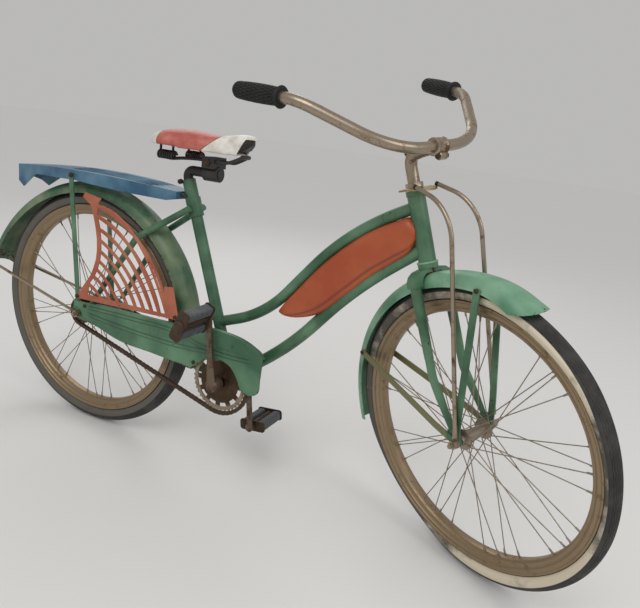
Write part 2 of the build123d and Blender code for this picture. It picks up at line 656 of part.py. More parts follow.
# One-piece crank: spindle, two arms, pedal pins
PEDAL_OUT = 108.0
ARM_ROOT_R = 17.0
ARM_END_R = 11.5
arm_x = CRANK_LEN * cos(CRANK_ANGLE)
arm_z = CRANK_LEN * sin(CRANK_ANGLE)
PEDAL_PLACES = {1: (BB_X - arm_x, BB_Z - arm_z), -1: (BB_X + arm_x, BB_Z + arm_z)}
with BuildPart() as crank:
    rod(at(BB_X, CRANK_IN + 2, BB_Z), at(BB_X, -CRANK_IN - 2, BB_Z), SPINDLE_R)
    rod(at(BB_X, CHAIN_Y - 2.0, BB_Z), at(BB_X, -CRANK_IN - 2, BB_Z), SPINDLE_R + 9)
    rod(at(BB_X, BB_HALF + 6, BB_Z), at(BB_X, CRANK_IN + 2, BB_Z), SPINDLE_R + 4)
    for s, (px, pz) in PEDAL_PLACES.items():
        with BuildSketch(side(s * (CRANK_IN + (CRANK_T if s > 0 else 0)))) as arm:
            with Locations((BB_X, BB_Z)):
                Circle(ARM_ROOT_R)
            with Locations((px, pz)):
                Circle(ARM_END_R)
            make_hull()
        extrude(arm.sketch, amount=CRANK_T)
        y0 = s * (CRANK_IN + CRANK_T)
        rod(at(px, y0 - s * 2, pz), at(px, y0 + s * PEDAL_OUT, pz), PEDAL_PIN_R)
crank.part.label = "crank"

# Pedals: cage with barrel, two rubber blocks
PEDAL_LEN = 96.0
PEDAL_TILT = {1: 8.0, -1: 68.0}
CAGE = (76.0, 30.0, 3.0)
BLOCK = (22.0, 25.0)
BLOCK_OFF = 24.0
BARREL_R = 10.0


def pedal_plane(s, y):
    px, pz = PEDAL_PLACES[s]
    tilt = radians(PEDAL_TILT[s])
    return Plane(at(px, s * y, pz), x_dir=(cos(tilt), 0, sin(tilt)), z_dir=(0, s, 0))


def pedal_cage(s):
    y0 = CRANK_IN + CRANK_T + 6
    w, h, t = CAGE
    for y in (y0, y0 + PEDAL_LEN - t):
        with BuildSketch(pedal_plane(s, y)) as end:
            RectangleRounded(w, h, 8)
        extrude(end.sketch, amount=t)
    with BuildSketch(pedal_plane(s, y0)) as barrel:
        Circle(BARREL_R)
    extrude(barrel.sketch, amount=PEDAL_LEN)
    with BuildSketch(pedal_plane(s, y0 - 1)) as bore:
        Circle(PEDAL_PIN_R + RUN)
    extrude(bore.sketch, amount=PEDAL_LEN + 2, mode=Mode.SUBTRACT)


def pedal_blocks(s):
    y0 = CRANK_IN + CRANK_T + 6 + CAGE[2] + 0.2
    with BuildSketch(pedal_plane(s, y0)) as blocks:
        with Locations((BLOCK_OFF, 0), (-BLOCK_OFF, 0)):
            Rectangle(*BLOCK)
    extrude(blocks.sketch, amount=PEDAL_LEN - 2 * CAGE[2] - 0.4)


with BuildPart() as pedal_right:
    pedal_cage(-1)
pedal_right.part.label = "pedal_right"

with BuildPart() as pedal_left:
    pedal_cage(1)
pedal_left.part.label = "pedal_left"

with BuildPart() as pedal_blocks_right:
    pedal_blocks(-1)
pedal_blocks_right.part.label = "pedal_blocks_right"

with BuildPart() as pedal_blocks_left:
    pedal_blocks(1)
pedal_blocks_left.part.label = "pedal_blocks_left"

# Tyres: section as share of height above the rim and share of half width
TYRE_SECTION = ((0.0, -0.72), (0.38, -1.0), (0.78, -0.74), (1.0, -0.22))


def tyre_profile(r):
    base = RIM_R + 0.3
    right = [(base + v * (r - base), u * TYRE_HALF) for v, u in TYRE_SECTION]
    return right + [(v, -u) for v, u in reversed(right)]


RIM_SECTION = ((RIM_R, -RIM_HALF), (RIM_R, RIM_HALF), (RIM_R - 9, RIM_HALF - 1), (RIM_WELL_R, 9), (RIM_WELL_R, -9),
               (RIM_R - 9, 1 - RIM_HALF))

with BuildPart() as rear_tyre:
    turned(REAR_AXLE, LEFT, UP, tyre_profile(REAR_TYRE_R))
rear_tyre.part.label = "rear_tyre"

with BuildPart() as front_tyre:
    turned(FRONT_AXLE, STEER_LEFT, STEER_UP, tyre_profile(FRONT_TYRE_R))
front_tyre.part.label = "front_tyre"

with BuildPart() as rear_rim:
    turned(REAR_AXLE, LEFT, UP, RIM_SECTION)
rear_rim.part.label = "rear_rim"

with BuildPart() as front_rim:
    turned(FRONT_AXLE, STEER_LEFT, STEER_UP, RIM_SECTION)
front_rim.part.label = "front_rim"

# Hubs: radius and place along the axle; spokes laced three-cross
REAR_HUB = ((AXLE_R + RUN, -36), (14, -36), (14, -31), (31, -31), (31, -27), (21, -25), (19, 0), (19, 20), (30, 22),
            (30, 26), (16, 28), (16, 44), (10, 47), (AXLE_R + RUN, 47))
FRONT_HUB = ((AXLE_R + RUN, -43), (9, -43), (11, -36), (22, -34), (22, -31), (13, -28), (12, 28), (22, 31), (22, 34),
             (11, 36), (9, 43), (AXLE_R + RUN, 43))
CROSS = 3


def wheel_hub(centre, along, up, profile, flange_r, flange_y):
    fwd = up.cross(along) * -1
    turned(centre, along, up, profile)
    for side_index, y in enumerate(flange_y):
        for i in range(SPOKES_A_SIDE):
            turn = 2 * pi / SPOKES_A_SIDE
            a = (i + 0.5 * side_index) * turn
            lean = (1 if i % 2 else -1) * CROSS * turn * 0.9
            b = a + lean
            out_y = y + (1.2 if i % 2 else -1.2)
            p0 = centre + (fwd * cos(a) + up * sin(a)) * (flange_r - 4) + along * out_y
            p1 = centre + (fwd * cos(b) + up * sin(b)) * (RIM_WELL_R - 0.6) + along * (5 if y > 0 else -5)
            rod(p0, p1, SPOKE_R)


with BuildPart() as rear_hub:
    wheel_hub(REAR_AXLE, LEFT, UP, REAR_HUB, 30, (-29, 24))
rear_hub.part.label = "rear_hub"

with BuildPart() as front_hub:
    wheel_hub(FRONT_AXLE, STEER_LEFT, STEER_UP, FRONT_HUB, 22, (-32.5, 32.5))
front_hub.part.label = "front_hub"

# Fork: steerer, arched crown over the fender, two blades and their ends
CROWN_HIGH = HEAD_LOW - CUP_H - GAP
CROWN_LOW = FRONT_FENDER_CROWN_R + 0.5
CROWN_FOOT = FRONT_FENDER_EDGE_R + 3.0
CROWN_HALF = 13.0
FORK_IN = 48.0
FORK_END_T = 4.0
# Left half of the crown's arch, seen from ahead: outer edge down, inner edge up
CROWN_OUT = ((20, CROWN_HIGH), (37, CROWN_HIGH - 3), (50, CROWN_HIGH - 11), (56, CROWN_HIGH - 22), (56, CROWN_FOOT))
CROWN_IN = ((35, CROWN_FOOT), (35, CROWN_LOW - 15), (30, CROWN_LOW - 6), (20, CROWN_LOW))
BLADE_TOP = (0.0, 45.5, CROWN_FOOT + 4.0)
BLADE_TOP_F = 13.0
BLADE_TOP_Y = 10.0
BLADE_MID = (4.9, 46.6, 170.0)
BLADE_R = 9.5
BLADE_STEP = 0.6
BLADE_END_R = 6.0
BLADE_PATH = ((4.7, 46.5, 176.0), (6.0, 47.0, 130.0), (RAKE - 10.0, 50.0, 30.0))
STEERER_STAND = 26.5
STEERER_TOP = HEAD_HIGH + STEERER_STAND
FORK_END = ((-13, 34), (-21, 20), (-11, -8), (0, -12), (11, -4), (9, 10), (1, 30))
with BuildPart() as fork:
    rod(fork_at(0, 0, CROWN_LOW + 2), fork_at(0, 0, STEERER_TOP), STEERER_R)
    arch = CROWN_OUT + CROWN_IN
    arch = arch + tuple((-y, a) for y, a in reversed(arch))
    plate(Plane(fork_at(-CROWN_HALF, 0, 0), x_dir=STEER_LEFT, z_dir=STEER_FWD), arch, 2 * CROWN_HALF)
    for s in (1, -1):
        top = fork_at(BLADE_TOP[0], s * BLADE_TOP[1], BLADE_TOP[2])
        mid = fork_at(BLADE_MID[0], s * BLADE_MID[1], BLADE_MID[2])
        with BuildSketch(Plane(top, x_dir=STEER_FWD, z_dir=mid - top)) as upper:
            Ellipse(BLADE_TOP_F, BLADE_TOP_Y)
        with BuildSketch(Plane(mid, x_dir=STEER_FWD, z_dir=mid - top)) as lower:
            Circle(BLADE_R)
        loft(sections=(upper.sketch, lower.sketch))
        tapered_stay([fork_at(f, s * y, a) for f, y, a in BLADE_PATH], 40, BLADE_R - BLADE_STEP, BLADE_END_R)
        y0 = FORK_IN + FORK_END_T if s > 0 else FORK_IN
        plate(fork_side(s * y0), [(RAKE + f, a) for f, a in FORK_END], FORK_END_T)
    rod(FRONT_AXLE + STEER_LEFT * 90, FRONT_AXLE - STEER_LEFT * 90, AXLE_R + 0.15, Mode.SUBTRACT)
    rod(FRONT_AXLE + STEER_LEFT * FORK_IN, FRONT_AXLE - STEER_LEFT * FORK_IN, 24, Mode.SUBTRACT)
fork.part.label = "fork"

# Front axle stack: fender brace eye, truss eye, nut
F_BRACE_IN = FORK_IN + FORK_END_T + GAP
F_BRACE_T = 3.0
TRUSS_IN = F_BRACE_IN + F_BRACE_T + GAP
TRUSS_T = 3.0
with BuildPart() as front_axle:
    end = TRUSS_IN + TRUSS_T + GAP
    tip = end + NUT_T + AXLE_SPARE
    rod(FRONT_AXLE + STEER_LEFT * tip, FRONT_AXLE - STEER_LEFT * tip, AXLE_R)
    nut(FRONT_AXLE, STEER_LEFT, end, end + NUT_T)
    nut(FRONT_AXLE, STEER_LEFT, -end, -end - NUT_T)
front_axle.part.label = "front_axle"

F_BRACE_W = 15.0
F_BRACE_FLAT = 60.0
F_BRACE_Y = FRONT_FENDER_HALF + GAP + F_BRACE_T / 2
F_BRACE_END_R = FRONT_FENDER_EDGE_R + 7.0
F_BRACE_ANGLES = (radians(72.5), radians(148.0))
with BuildPart() as front_fender_braces:
    for s in (1, -1):
        mid = F_BRACE_IN + F_BRACE_T / 2
        eye(FRONT_AXLE, STEER_LEFT, s * F_BRACE_IN, s * (F_BRACE_IN + F_BRACE_T))
        for a in F_BRACE_ANGLES:
            root, knee, tip = [fork_at(RAKE + r * cos(a), s * y, r * sin(a)) for r, y in
                               ((7, mid), (F_BRACE_FLAT, mid), (F_BRACE_END_R, F_BRACE_Y))]
            flat_bar([root, knee, tip], 40, F_BRACE_W, F_BRACE_T, STEER_LEFT)
    rod(FRONT_AXLE + STEER_LEFT * 90, FRONT_AXLE - STEER_LEFT * 90, AXLE_R + 0.15, Mode.SUBTRACT)
front_fender_braces.part.label = "front_fender_braces"

# Truss: plate on the head, two rods down to the axle
TRUSS_R = 4.5
TRUSS_PLATE_LOW = HEAD_HIGH + CUP_H + 1.5
TRUSS_PLATE_T = 4.0
TRUSS_START = (36.0, 31.3, TRUSS_PLATE_LOW + 1.6)
TRUSS_KNEE = (122.0, 41.0, TRUSS_PLATE_LOW - 50.0)
TRUSS_PATH = (TRUSS_START, TRUSS_KNEE, (RAKE + 9.0, 61.5, 24.0))
TRUSS_BEND = 95.0
TRUSS_TAB = ((-6, 4), (7, 4), (16, 40), (4, 40))
TRUSS_EYE_R = 9.0
TRUSS_PLATE = ((-20, 20), (10, 24), (36, 38), (48, 38), (48, 25), (36, 16), (36, -16), (48, -25), (48, -38), (36, -38),
               (10, -24), (-20, -20))
with BuildPart() as truss_rods:
    for s in (1, -1):
        bent_rod([fork_at(f, s * y, a) for f, y, a in TRUSS_PATH], TRUSS_BEND, TRUSS_R)
        eye(FRONT_AXLE, STEER_LEFT, s * TRUSS_IN, s * (TRUSS_IN + TRUSS_T))
        y0 = TRUSS_IN + TRUSS_T if s > 0 else TRUSS_IN
        plate(fork_side(s * y0), [(RAKE + f, a) for f, a in TRUSS_TAB], TRUSS_T)
    rod(FRONT_AXLE + STEER_LEFT * 90, FRONT_AXLE - STEER_LEFT * 90, AXLE_R + 0.15, Mode.SUBTRACT)
truss_rods.part.label = "truss_rods"

with BuildPart() as truss_plate:
    plate(Plane(fork_at(0, 0, TRUSS_PLATE_LOW), x_dir=STEER_FWD, z_dir=STEER_UP), TRUSS_PLATE, TRUSS_PLATE_T)
    rod(fork_at(0, 0, HEAD_LOW), fork_at(0, 0, STEERER_TOP + 30), STEERER_R + 0.1, Mode.SUBTRACT)
    for s in (1, -1):
        p = [fork_at(f, s * y, a) for f, y, a in TRUSS_PATH]
        run = (p[1] - p[0]).normalized()
        rod(p[0] + run * 5, p[0] + run * 15, TRUSS_EYE_R)
        bent_rod(p, TRUSS_BEND, TRUSS_R + 0.2, Mode.SUBTRACT)
truss_plate.part.label = "truss_plate"

NUT_LOW = TRUSS_PLATE_LOW + TRUSS_PLATE_T + GAP
with BuildPart() as headset_nut:
    with BuildSketch(Plane(fork_at(0, 0, NUT_LOW), x_dir=STEER_FWD, z_dir=STEER_UP)) as section:
        RegularPolygon(18, 8)
        Circle(STEERER_R + 0.1, mode=Mode.SUBTRACT)
    extrude(section.sketch, amount=STEERER_TOP - NUT_LOW)
headset_nut.part.label = "headset_nut"

# Stem and handlebar
STEM_R = 11.1
BAR_F = 78.0
BAR_A = STEERER_TOP + 56.0
BAR_R = 11.1
CLAMP_R = 19.0
CLAMP_HALF = 22.0
STEM_PATH = ((0.0, 0.0, STEERER_TOP + GAP), (0.0, 0.0, BAR_A - 4), (BAR_F - 10, 0.0, BAR_A))
BAR_HALF_PATH = ((BAR_F, 112.0, BAR_A), (-28.0, 230.0, BAR_A + 124.0), (-165.0, 265.0, BAR_A + 184.0))
BAR_BENDS = (105.0, 150.0)
with BuildPart() as stem:
    bent_rod([fork_at(*p) for p in STEM_PATH], 24, STEM_R + 2)
    rod(fork_at(BAR_F, CLAMP_HALF, BAR_A), fork_at(BAR_F, -CLAMP_HALF, BAR_A), CLAMP_R)
    rod(fork_at(BAR_F, CLAMP_HALF, BAR_A), fork_at(BAR_F, -CLAMP_HALF, BAR_A), BAR_R + 0.1, Mode.SUBTRACT)
stem.part.label = "stem"

bar_path = [fork_at(f, -y, a) for f, y, a in reversed(BAR_HALF_PATH)] + [fork_at(*p) for p in BAR_HALF_PATH]
with BuildPart() as handlebar:
    bent_rod(bar_path, BAR_BENDS + BAR_BENDS[::-1], BAR_R)
handlebar.part.label = "handlebar"

GRIP_R = 16.0
GRIP_LEN = 118.0
GRIP_FLANGE_R = 22.0
GRIP_OVER = 5.0
with BuildPart() as grips:
    for s in (1, -1):
        end = fork_at(*[v * k for v, k in zip(BAR_HALF_PATH[2], (1, s, 1))])
        knee = fork_at(*[v * k for v, k in zip(BAR_HALF_PATH[1], (1, s, 1))])
        back = (end - knee).normalized()
        front = end - back * GRIP_LEN
        rod(front, end + back * GRIP_OVER, GRIP_R)
        rod(front, front + back * 5, GRIP_FLANGE_R)
        rod(front - back * 1, end + back * 0.1, BAR_R + 0.1, Mode.SUBTRACT)
grips.part.label = "grips"

# Seat post bent forward, saddle clamp, springs and saddle
POST_FROM = SEAT_TUBE_LEN - 114.0
CLAMP_X = 372.0
with BuildPart() as seat_post:
    bent_rod([seat_at(POST_FROM), seat_at(POST_BEND), at(CLAMP_X + 12, 0, POST_Z)], 14, POST_R - 1)
    rod(seat_at(POST_FROM), seat_at(SEAT_TUBE_LEN + 2), POST_R)
seat_post.part.label = "seat_post"

RAIL_Y = 17.0
RAIL_R = 4.0
with BuildPart() as saddle_clamp:
    rod(at(CLAMP_X - 30, -1, POST_Z), at(CLAMP_X + 10, -1, POST_Z), 18)
    with Locations(level(CLAMP_X - 10, 0, RAIL_Z - 4)):
        Box(34, 2 * RAIL_Y + 16, 26)
    rod(at(CLAMP_X - 60, 0, POST_Z), at(CLAMP_X + 60, 0, POST_Z), POST_R - 1 + 0.1, Mode.SUBTRACT)
    for s in (1, -1):
        rod(at(CLAMP_X - 60, s * RAIL_Y, RAIL_Z), at(CLAMP_X + 60, s * RAIL_Y, RAIL_Z), RAIL_R + 0.1, Mode.SUBTRACT)
saddle_clamp.part.label = "saddle_clamp"

NOSE_Z = RAIL_Z + 18.0
RAIL_PATH = ((448.0, 12.0, NOSE_Z), (410.0, 17.0, RAIL_Z), (320.0, 17.0, RAIL_Z), (262.0, 50.0, RAIL_Z - 8))
SPRING_R = 15.0
with BuildPart() as saddle_frame:
    for s in (1, -1):
        bent_rod([at(x, s * y, z) for x, y, z in RAIL_PATH], 18, RAIL_R)
        rod(at(262, s * 52, RAIL_Z - 12), at(262, s * 52, SADDLE_LOW - GAP), SPRING_R)
    rod(at(448, 16, NOSE_Z), at(448, -16, NOSE_Z), 5)
saddle_frame.part.label = "saddle_frame"

# Saddle: place ahead, half width, drop of the top and rise of the edge at each section
SADDLE_SECTIONS = (
    (230, 58, 22, 7), (244, 92, 8, 1), (284, 100, 0, 0), (330, 68, 1, -3), (376, 40, 4, -6), (420, 28, 1, -6),
    (446, 24, 0, 2), (466, 18, 2, 18), (478, 9, 9, 24),
)
# Section's half: share of half width, share of height
SADDLE_DOME = ((1.0, 0.0), (0.99, 0.45), (0.84, 0.8), (0.5, 0.97))
with BuildPart() as saddle_top:
    stations = []
    for x, half, drop, rise in SADDLE_SECTIONS:
        low = SADDLE_LOW + rise
        high = SADDLE_LOW + SADDLE_H - drop
        right = [(-u * half, low + v * (high - low)) for u, v in SADDLE_DOME]
        left = [(-y, z) for y, z in reversed(right)]
        with BuildSketch(Plane(at(x, 0, 0), x_dir=LEFT, z_dir=FRAME_FWD)) as section:
            with BuildLine():
                Polyline(*right, (0, high), *left, close=True)
            make_face()
        stations.append(section.sketch)
    loft(sections=stations, ruled=True)
saddle_top.part.label = "saddle_top"

ALL = (
    head_tube, headset_cups, upper_tube, lower_tube, seat_tube, bottom_bracket_shell, chain_stays, seat_stays, tank,
    rear_fender, rear_fender_braces, rear_axle, brake_arm, rack, rack_struts, rack_bracket, skirt_guard_right,
    chain_guard, chain, seat_post, saddle_clamp, saddle_frame, saddle_top, rear_sprocket, chainring,
    crank, pedal_right, pedal_left, pedal_blocks_right, pedal_blocks_left, rear_tyre, rear_rim, rear_hub, front_tyre,
    front_rim, front_hub, fork, front_axle, front_fender, front_fender_braces, truss_rods, truss_plate, headset_nut,
    stem, handlebar, grips,
)
for piece in ALL:
    export_step(piece.part, "parts/" + piece.part.label + ".step")
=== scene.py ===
import json

import bmesh
import bpy
import numpy as np
from bpy.props import FloatProperty, FloatVectorProperty, PointerProperty
from mathutils import Matrix, Vector


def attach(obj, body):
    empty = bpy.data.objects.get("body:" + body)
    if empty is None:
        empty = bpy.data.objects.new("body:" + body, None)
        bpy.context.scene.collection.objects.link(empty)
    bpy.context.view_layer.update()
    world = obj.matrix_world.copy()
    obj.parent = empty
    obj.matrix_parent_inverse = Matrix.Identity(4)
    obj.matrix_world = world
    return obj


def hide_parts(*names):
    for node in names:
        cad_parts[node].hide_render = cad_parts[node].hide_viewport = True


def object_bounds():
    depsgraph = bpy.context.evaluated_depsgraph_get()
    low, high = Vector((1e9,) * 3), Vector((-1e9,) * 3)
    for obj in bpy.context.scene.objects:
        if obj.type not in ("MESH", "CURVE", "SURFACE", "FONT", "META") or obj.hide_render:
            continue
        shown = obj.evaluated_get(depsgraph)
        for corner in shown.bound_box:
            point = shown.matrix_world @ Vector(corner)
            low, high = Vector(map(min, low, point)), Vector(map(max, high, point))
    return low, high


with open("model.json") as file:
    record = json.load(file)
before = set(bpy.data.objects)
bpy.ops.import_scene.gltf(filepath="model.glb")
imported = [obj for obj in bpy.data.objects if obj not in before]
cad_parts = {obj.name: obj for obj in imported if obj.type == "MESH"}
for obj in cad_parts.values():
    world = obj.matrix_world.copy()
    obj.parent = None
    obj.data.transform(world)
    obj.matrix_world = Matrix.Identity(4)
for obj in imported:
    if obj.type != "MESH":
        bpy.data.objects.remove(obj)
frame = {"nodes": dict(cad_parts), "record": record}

bl_info = {
    "name": "Balloon-tyre bicycle",
    "version": (1, 0, 0),
    "blender": (4, 5, 0),
    "location": "View3D > Sidebar > Bicycle",
    "description": "Dresses the solids of a worn step-through bicycle with its sheet metal, rubber and paint",
    "category": "Add Mesh",
}

CAD_LOW, CAD_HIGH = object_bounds()
NODES = frame["nodes"]

# Places in mm: ahead of the rear axle, left of the middle, up. LEVEL turns them so that both wheels stand.
SEAT_X, SEAT_Z, LEVEL = 300.0, 837.988, np.radians(0.69)
WHEELBASE, HEAD_ANGLE, STEER, RAKE = 1073.0, np.radians(70.4) - LEVEL, np.radians(-27.2), 47.0
REAR_R, FRONT_R, SPOKES_A_SIDE = 325.0, 323.0, 18
HEAD_COS, HEAD_SIN = np.cos(HEAD_ANGLE), np.sin(HEAD_ANGLE)
STEER_UP = np.array([-HEAD_COS, 0.0, HEAD_SIN])
STEER_FWD = np.array([HEAD_SIN * np.cos(STEER), np.sin(STEER), HEAD_COS * np.cos(STEER)])
STEER_LEFT = np.array([-HEAD_SIN * np.sin(STEER), np.cos(STEER), -HEAD_COS * np.sin(STEER)])
BB_X, BB_Z, CRANK_LEN, CRANK_Y, PEDAL_IN = 457.0, 254.0, 171.0, 81.5, 93.5
CRANK_ANGLE = np.radians(97.4)
ARM_X, ARM_Z = CRANK_LEN * np.cos(CRANK_ANGLE), CRANK_LEN * np.sin(CRANK_ANGLE)
BAR_KNEE, BAR_END = np.array([-28.0, 230.0, 706.0]), np.array([-165.0, 265.0, 766.0])
GUARD_Y = 67.5
# Camera fitted to the photograph: place, then yaw, pitch and roll; focal length and width in pixels, sensor
CAMERA_AT, CAMERA_TURN = (1223.6, -1203.0, 860.2), np.radians((114.4, 15.5, 7.0))
FOCAL_PX, PHOTO_WIDTH, SENSOR = 605.2, 640.0, 36.0


def bike(x, y, z):
    """Places in the shared frame, in metres, of places on the bicycle's frame."""
    x, z = np.asarray(x, float) - SEAT_X, np.asarray(z, float) - SEAT_Z
    x, y, z = np.broadcast_arrays(x, np.asarray(y, float), z)
    ahead, up = x * np.cos(LEVEL) - z * np.sin(LEVEL), x * np.sin(LEVEL) + z * np.cos(LEVEL)
    return np.stack([ahead, y, up], -1) / 1000


def unbike(points):
    """Places on the bicycle's frame, in mm, of places in the shared frame."""
    x, y, z = np.asarray(points).T * 1000
    return (x * np.cos(LEVEL) + z * np.sin(LEVEL) + SEAT_X, y, z * np.cos(LEVEL) - x * np.sin(LEVEL) + SEAT_Z)


REAR_AXLE = bike(0, 0, REAR_R)
STEER_FOOT = REAR_AXLE * 1000 + (WHEELBASE, 0, FRONT_R - REAR_R)
STEER_FOOT -= np.array([HEAD_SIN, 0, HEAD_COS]) * RAKE


def steered(f, y, a):
    """Shared places, in metres, on the fork: ahead of and left of the steering axis, and up along it."""
    f, y, a = [np.asarray(v, float)[..., None] for v in np.broadcast_arrays(f, y, a)]
    return (STEER_FOOT + f * STEER_FWD + y * STEER_LEFT + a * STEER_UP) / 1000


def rear_turn(r, y, a):
    """Places about the rear axle: radius, left, angle up from straight ahead."""
    r, y, a = np.broadcast_arrays(r, y, a)
    return REAR_AXLE + np.stack([r * np.cos(a), y, r * np.sin(a)], -1) / 1000


def front_turn(r, y, a):
    """Places about the front axle, turned with the steering."""
    r, y, a = np.broadcast_arrays(r, y, a)
    return steered(RAKE + r * np.cos(a), y, r * np.sin(a))


def linear(code):
    """Scene-linear colour of an sRGB hex code."""
    s = np.array([int(code[i:i + 2], 16) for i in (0, 2, 4)]) / 255.0
    return tuple(float(c) for c in np.where(s <= 0.04045, s / 12.92, ((s + 0.055) / 1.055) ** 2.4))


class BicycleSizes(bpy.types.PropertyGroup):
    """Sizes of the pieces that this add-on makes."""

    tyre_half: FloatProperty(name="Tyre half width", description="Half the tyre's width", default=0.025,
                             min=0.01, unit="LENGTH")
    rim_r: FloatProperty(name="Rim radius", description="Radius at the rim's flanges", default=0.287,
                         min=0.1, unit="LENGTH")
    tread_depth: FloatProperty(name="Tread depth", description="Depth of the tread's grooves", default=0.0013,
                               min=0.0, unit="LENGTH")
    tank_half: FloatProperty(name="Tank half width", description="Half the tank's width", default=0.024,
                             min=0.005, unit="LENGTH")
    grip_relief: FloatProperty(name="Grip relief", description="Height of the grips' bricks", default=0.0017,
                               min=0.0, unit="LENGTH")


class BicycleColours(bpy.types.PropertyGroup):
    """Colours of the paints, rubbers and metals."""

    green: FloatVectorProperty(name="Green enamel", description="Frame, fork and braces", subtype="COLOR",
                               default=linear("2f543a"), min=0, max=1)
    green_faded: FloatVectorProperty(name="Faded green", description="Enamel thinned by sun and wiping",
                                     subtype="COLOR", default=linear("5e8364"), min=0, max=1)
    orange: FloatVectorProperty(name="Orange enamel", description="Tank", subtype="COLOR",
                                default=linear("9c421e"), min=0, max=1)
    salmon: FloatVectorProperty(name="Salmon enamel", description="Skirt guard", subtype="COLOR",
                                default=linear("9c4e34"), min=0, max=1)
    blue: FloatVectorProperty(name="Blue enamel", description="Rack", subtype="COLOR",
                              default=linear("28526d"), min=0, max=1)
    rust: FloatVectorProperty(name="Rust", description="Where paint or plating is gone", subtype="COLOR",
                              default=linear("55371f"), min=0, max=1)
    plating: FloatVectorProperty(name="Old plating", description="Bars, stem and truss rods", subtype="COLOR",
                                 default=linear("a29381"), min=0, max=1)
    rim: FloatVectorProperty(name="Rim plating", description="Rims gone tan", subtype="COLOR",
                             default=linear("968369"), min=0, max=1)
    vinyl: FloatVectorProperty(name="Red vinyl", description="Saddle", subtype="COLOR",
                               default=linear("a84d41"), min=0, max=1)
    white: FloatVectorProperty(name="White vinyl", description="Saddle's nose and corners", subtype="COLOR",
                               default=linear("dcd7ce"), min=0, max=1)


def mm(size):
    """A size property in millimetres, without its last binary digits."""
    return round(size * 1000, 4)


def per(size):
    """Scale of a pattern whose features are that many millimetres across."""
    return 1000.0 / size


def rgba(colour, share=1.0):
    """Socket value of a colour, or of a darker share of it."""
    return (*(c * share for c in colour[:3]), 1.0)


def node(tree, kind, settings=(), links=()):
    """Adds a node, sets its attributes and unlinked sockets, and links other nodes' outputs to it."""
    made = tree.nodes.new("ShaderNode" + kind)
    for key, value in dict(settings).items():
        if isinstance(key, str) and hasattr(made, key):
            setattr(made, key, value)
        else:
            made.inputs[key].default_value = value
    for key, (source, output) in dict(links).items():
        tree.links.new(source.outputs[output], made.inputs[key])
    return made


def new_material(name):
    """Empty node material, its tree, and the link that lays a pattern on a piece's own places."""
    material = bpy.data.materials.new(name)
    material.use_nodes = True
    tree = material.node_tree
    tree.nodes.clear()
    return material, tree, {"Vector": (node(tree, "TexCoord"), "Object")}


def enamel(name, colour, faded, rust, chips=0.69, gloss=0.42, fade=0.5, aft=None):
    """Brushed enamel over steel: uneven film, faded where rubbed, chipped to brown rust at the edges."""
    material, tree, place = new_material(name)
    # 90 mm clouds of fading, 7 mm chips that gather in 60 mm patches, 3 mm grit of rust, 2 mm brush marks
    cloud = node(tree, "TexNoise", {"Scale": per(90), "Detail": 4.0}, place)
    fading = node(tree, "MapRange", {1: fade - 0.12, 2: fade + 0.22}, {0: (cloud, "Fac")})
    paint = node(tree, "Mix", {"data_type": "RGBA", 6: rgba(colour), 7: rgba(faded)}, {0: (fading, "Result")})
    if aft:
        # Another paint behind a place along the wheel's heading
        start, other = aft
        split = node(tree, "VectorMath", {"operation": "DOT_PRODUCT", 1: tuple(STEER_FWD)},
                     {0: place["Vector"]})
        behind = node(tree, "MapRange", {1: start, 2: start - 0.004}, {0: (split, "Value")})
        paint = node(tree, "Mix", {"data_type": "RGBA", 7: rgba(other)},
                     {0: (behind, "Result"), 6: (paint, 2)})
    wear_and_painted_shade = node(tree, "Attribute", {"attribute_name": "wear_and_painted_shade"})
    # Wear below 0 is painted shade in a groove: the paint's own colour darkened to 0.22
    dirt_and_painted_shade = node(tree, "MapRange", {1: 0.0, 2: -1.0}, {0: (wear_and_painted_shade, "Fac")})
    coat = node(tree, "Mix", {"data_type": "RGBA", 7: rgba(colour, 0.22)},
                {0: (dirt_and_painted_shade, "Result"), 6: (paint, 2)})
    patch = node(tree, "TexNoise", {"Scale": per(60), "Detail": 2.0}, place)
    flake = node(tree, "TexNoise", {"Scale": per(7), "Detail": 6.0, "Roughness": 0.65}, place)
    both = node(tree, "Math", {"operation": "MULTIPLY_ADD", 1: 0.45}, {0: (patch, "Fac"), 2: (flake, "Fac")})
    worn_and_shaded = node(tree, "Math", {"operation": "MULTIPLY_ADD", 1: 0.3}, {0: (wear_and_painted_shade, "Fac"), 2: (both, "Value")})
    bare = node(tree, "MapRange", {1: chips + 0.21, 2: chips + 0.25}, {0: (worn_and_shaded, "Value")})
    grit = node(tree, "TexNoise", {"Scale": per(3), "Detail": 3.0}, place)
    oxide = node(tree, "Mix", {"data_type": "RGBA", 6: rgba(rust), 7: rgba(rust, 0.35)}, {0: (grit, "Fac")})
    shown = node(tree, "Mix", {"data_type": "RGBA"}, {0: (bare, "Result"), 6: (coat, 2), 7: (oxide, 2)})
    rough = node(tree, "MapRange", {3: gloss, 4: 0.85}, {0: (bare, "Result")})
    brush = node(tree, "TexNoise", {"Scale": per(2), "Detail": 2.0}, place)
    film = node(tree, "Math", {"operation": "MULTIPLY_ADD", 1: -1.5},
                {0: (bare, "Result"), 2: (brush, "Fac")})
    bump = node(tree, "Bump", {"Strength": 0.18, "Distance": 0.0006}, {"Height": (film, "Value")})
    shader = node(tree, "BsdfPrincipled", {"IOR": 1.5, "Metallic": 0.0},
                  {"Base Color": (shown, 2), "Roughness": (rough, "Result"), "Normal": (bump, "Normal")})
    node(tree, "OutputMaterial", (), {0: (shader, 0)})
    return material


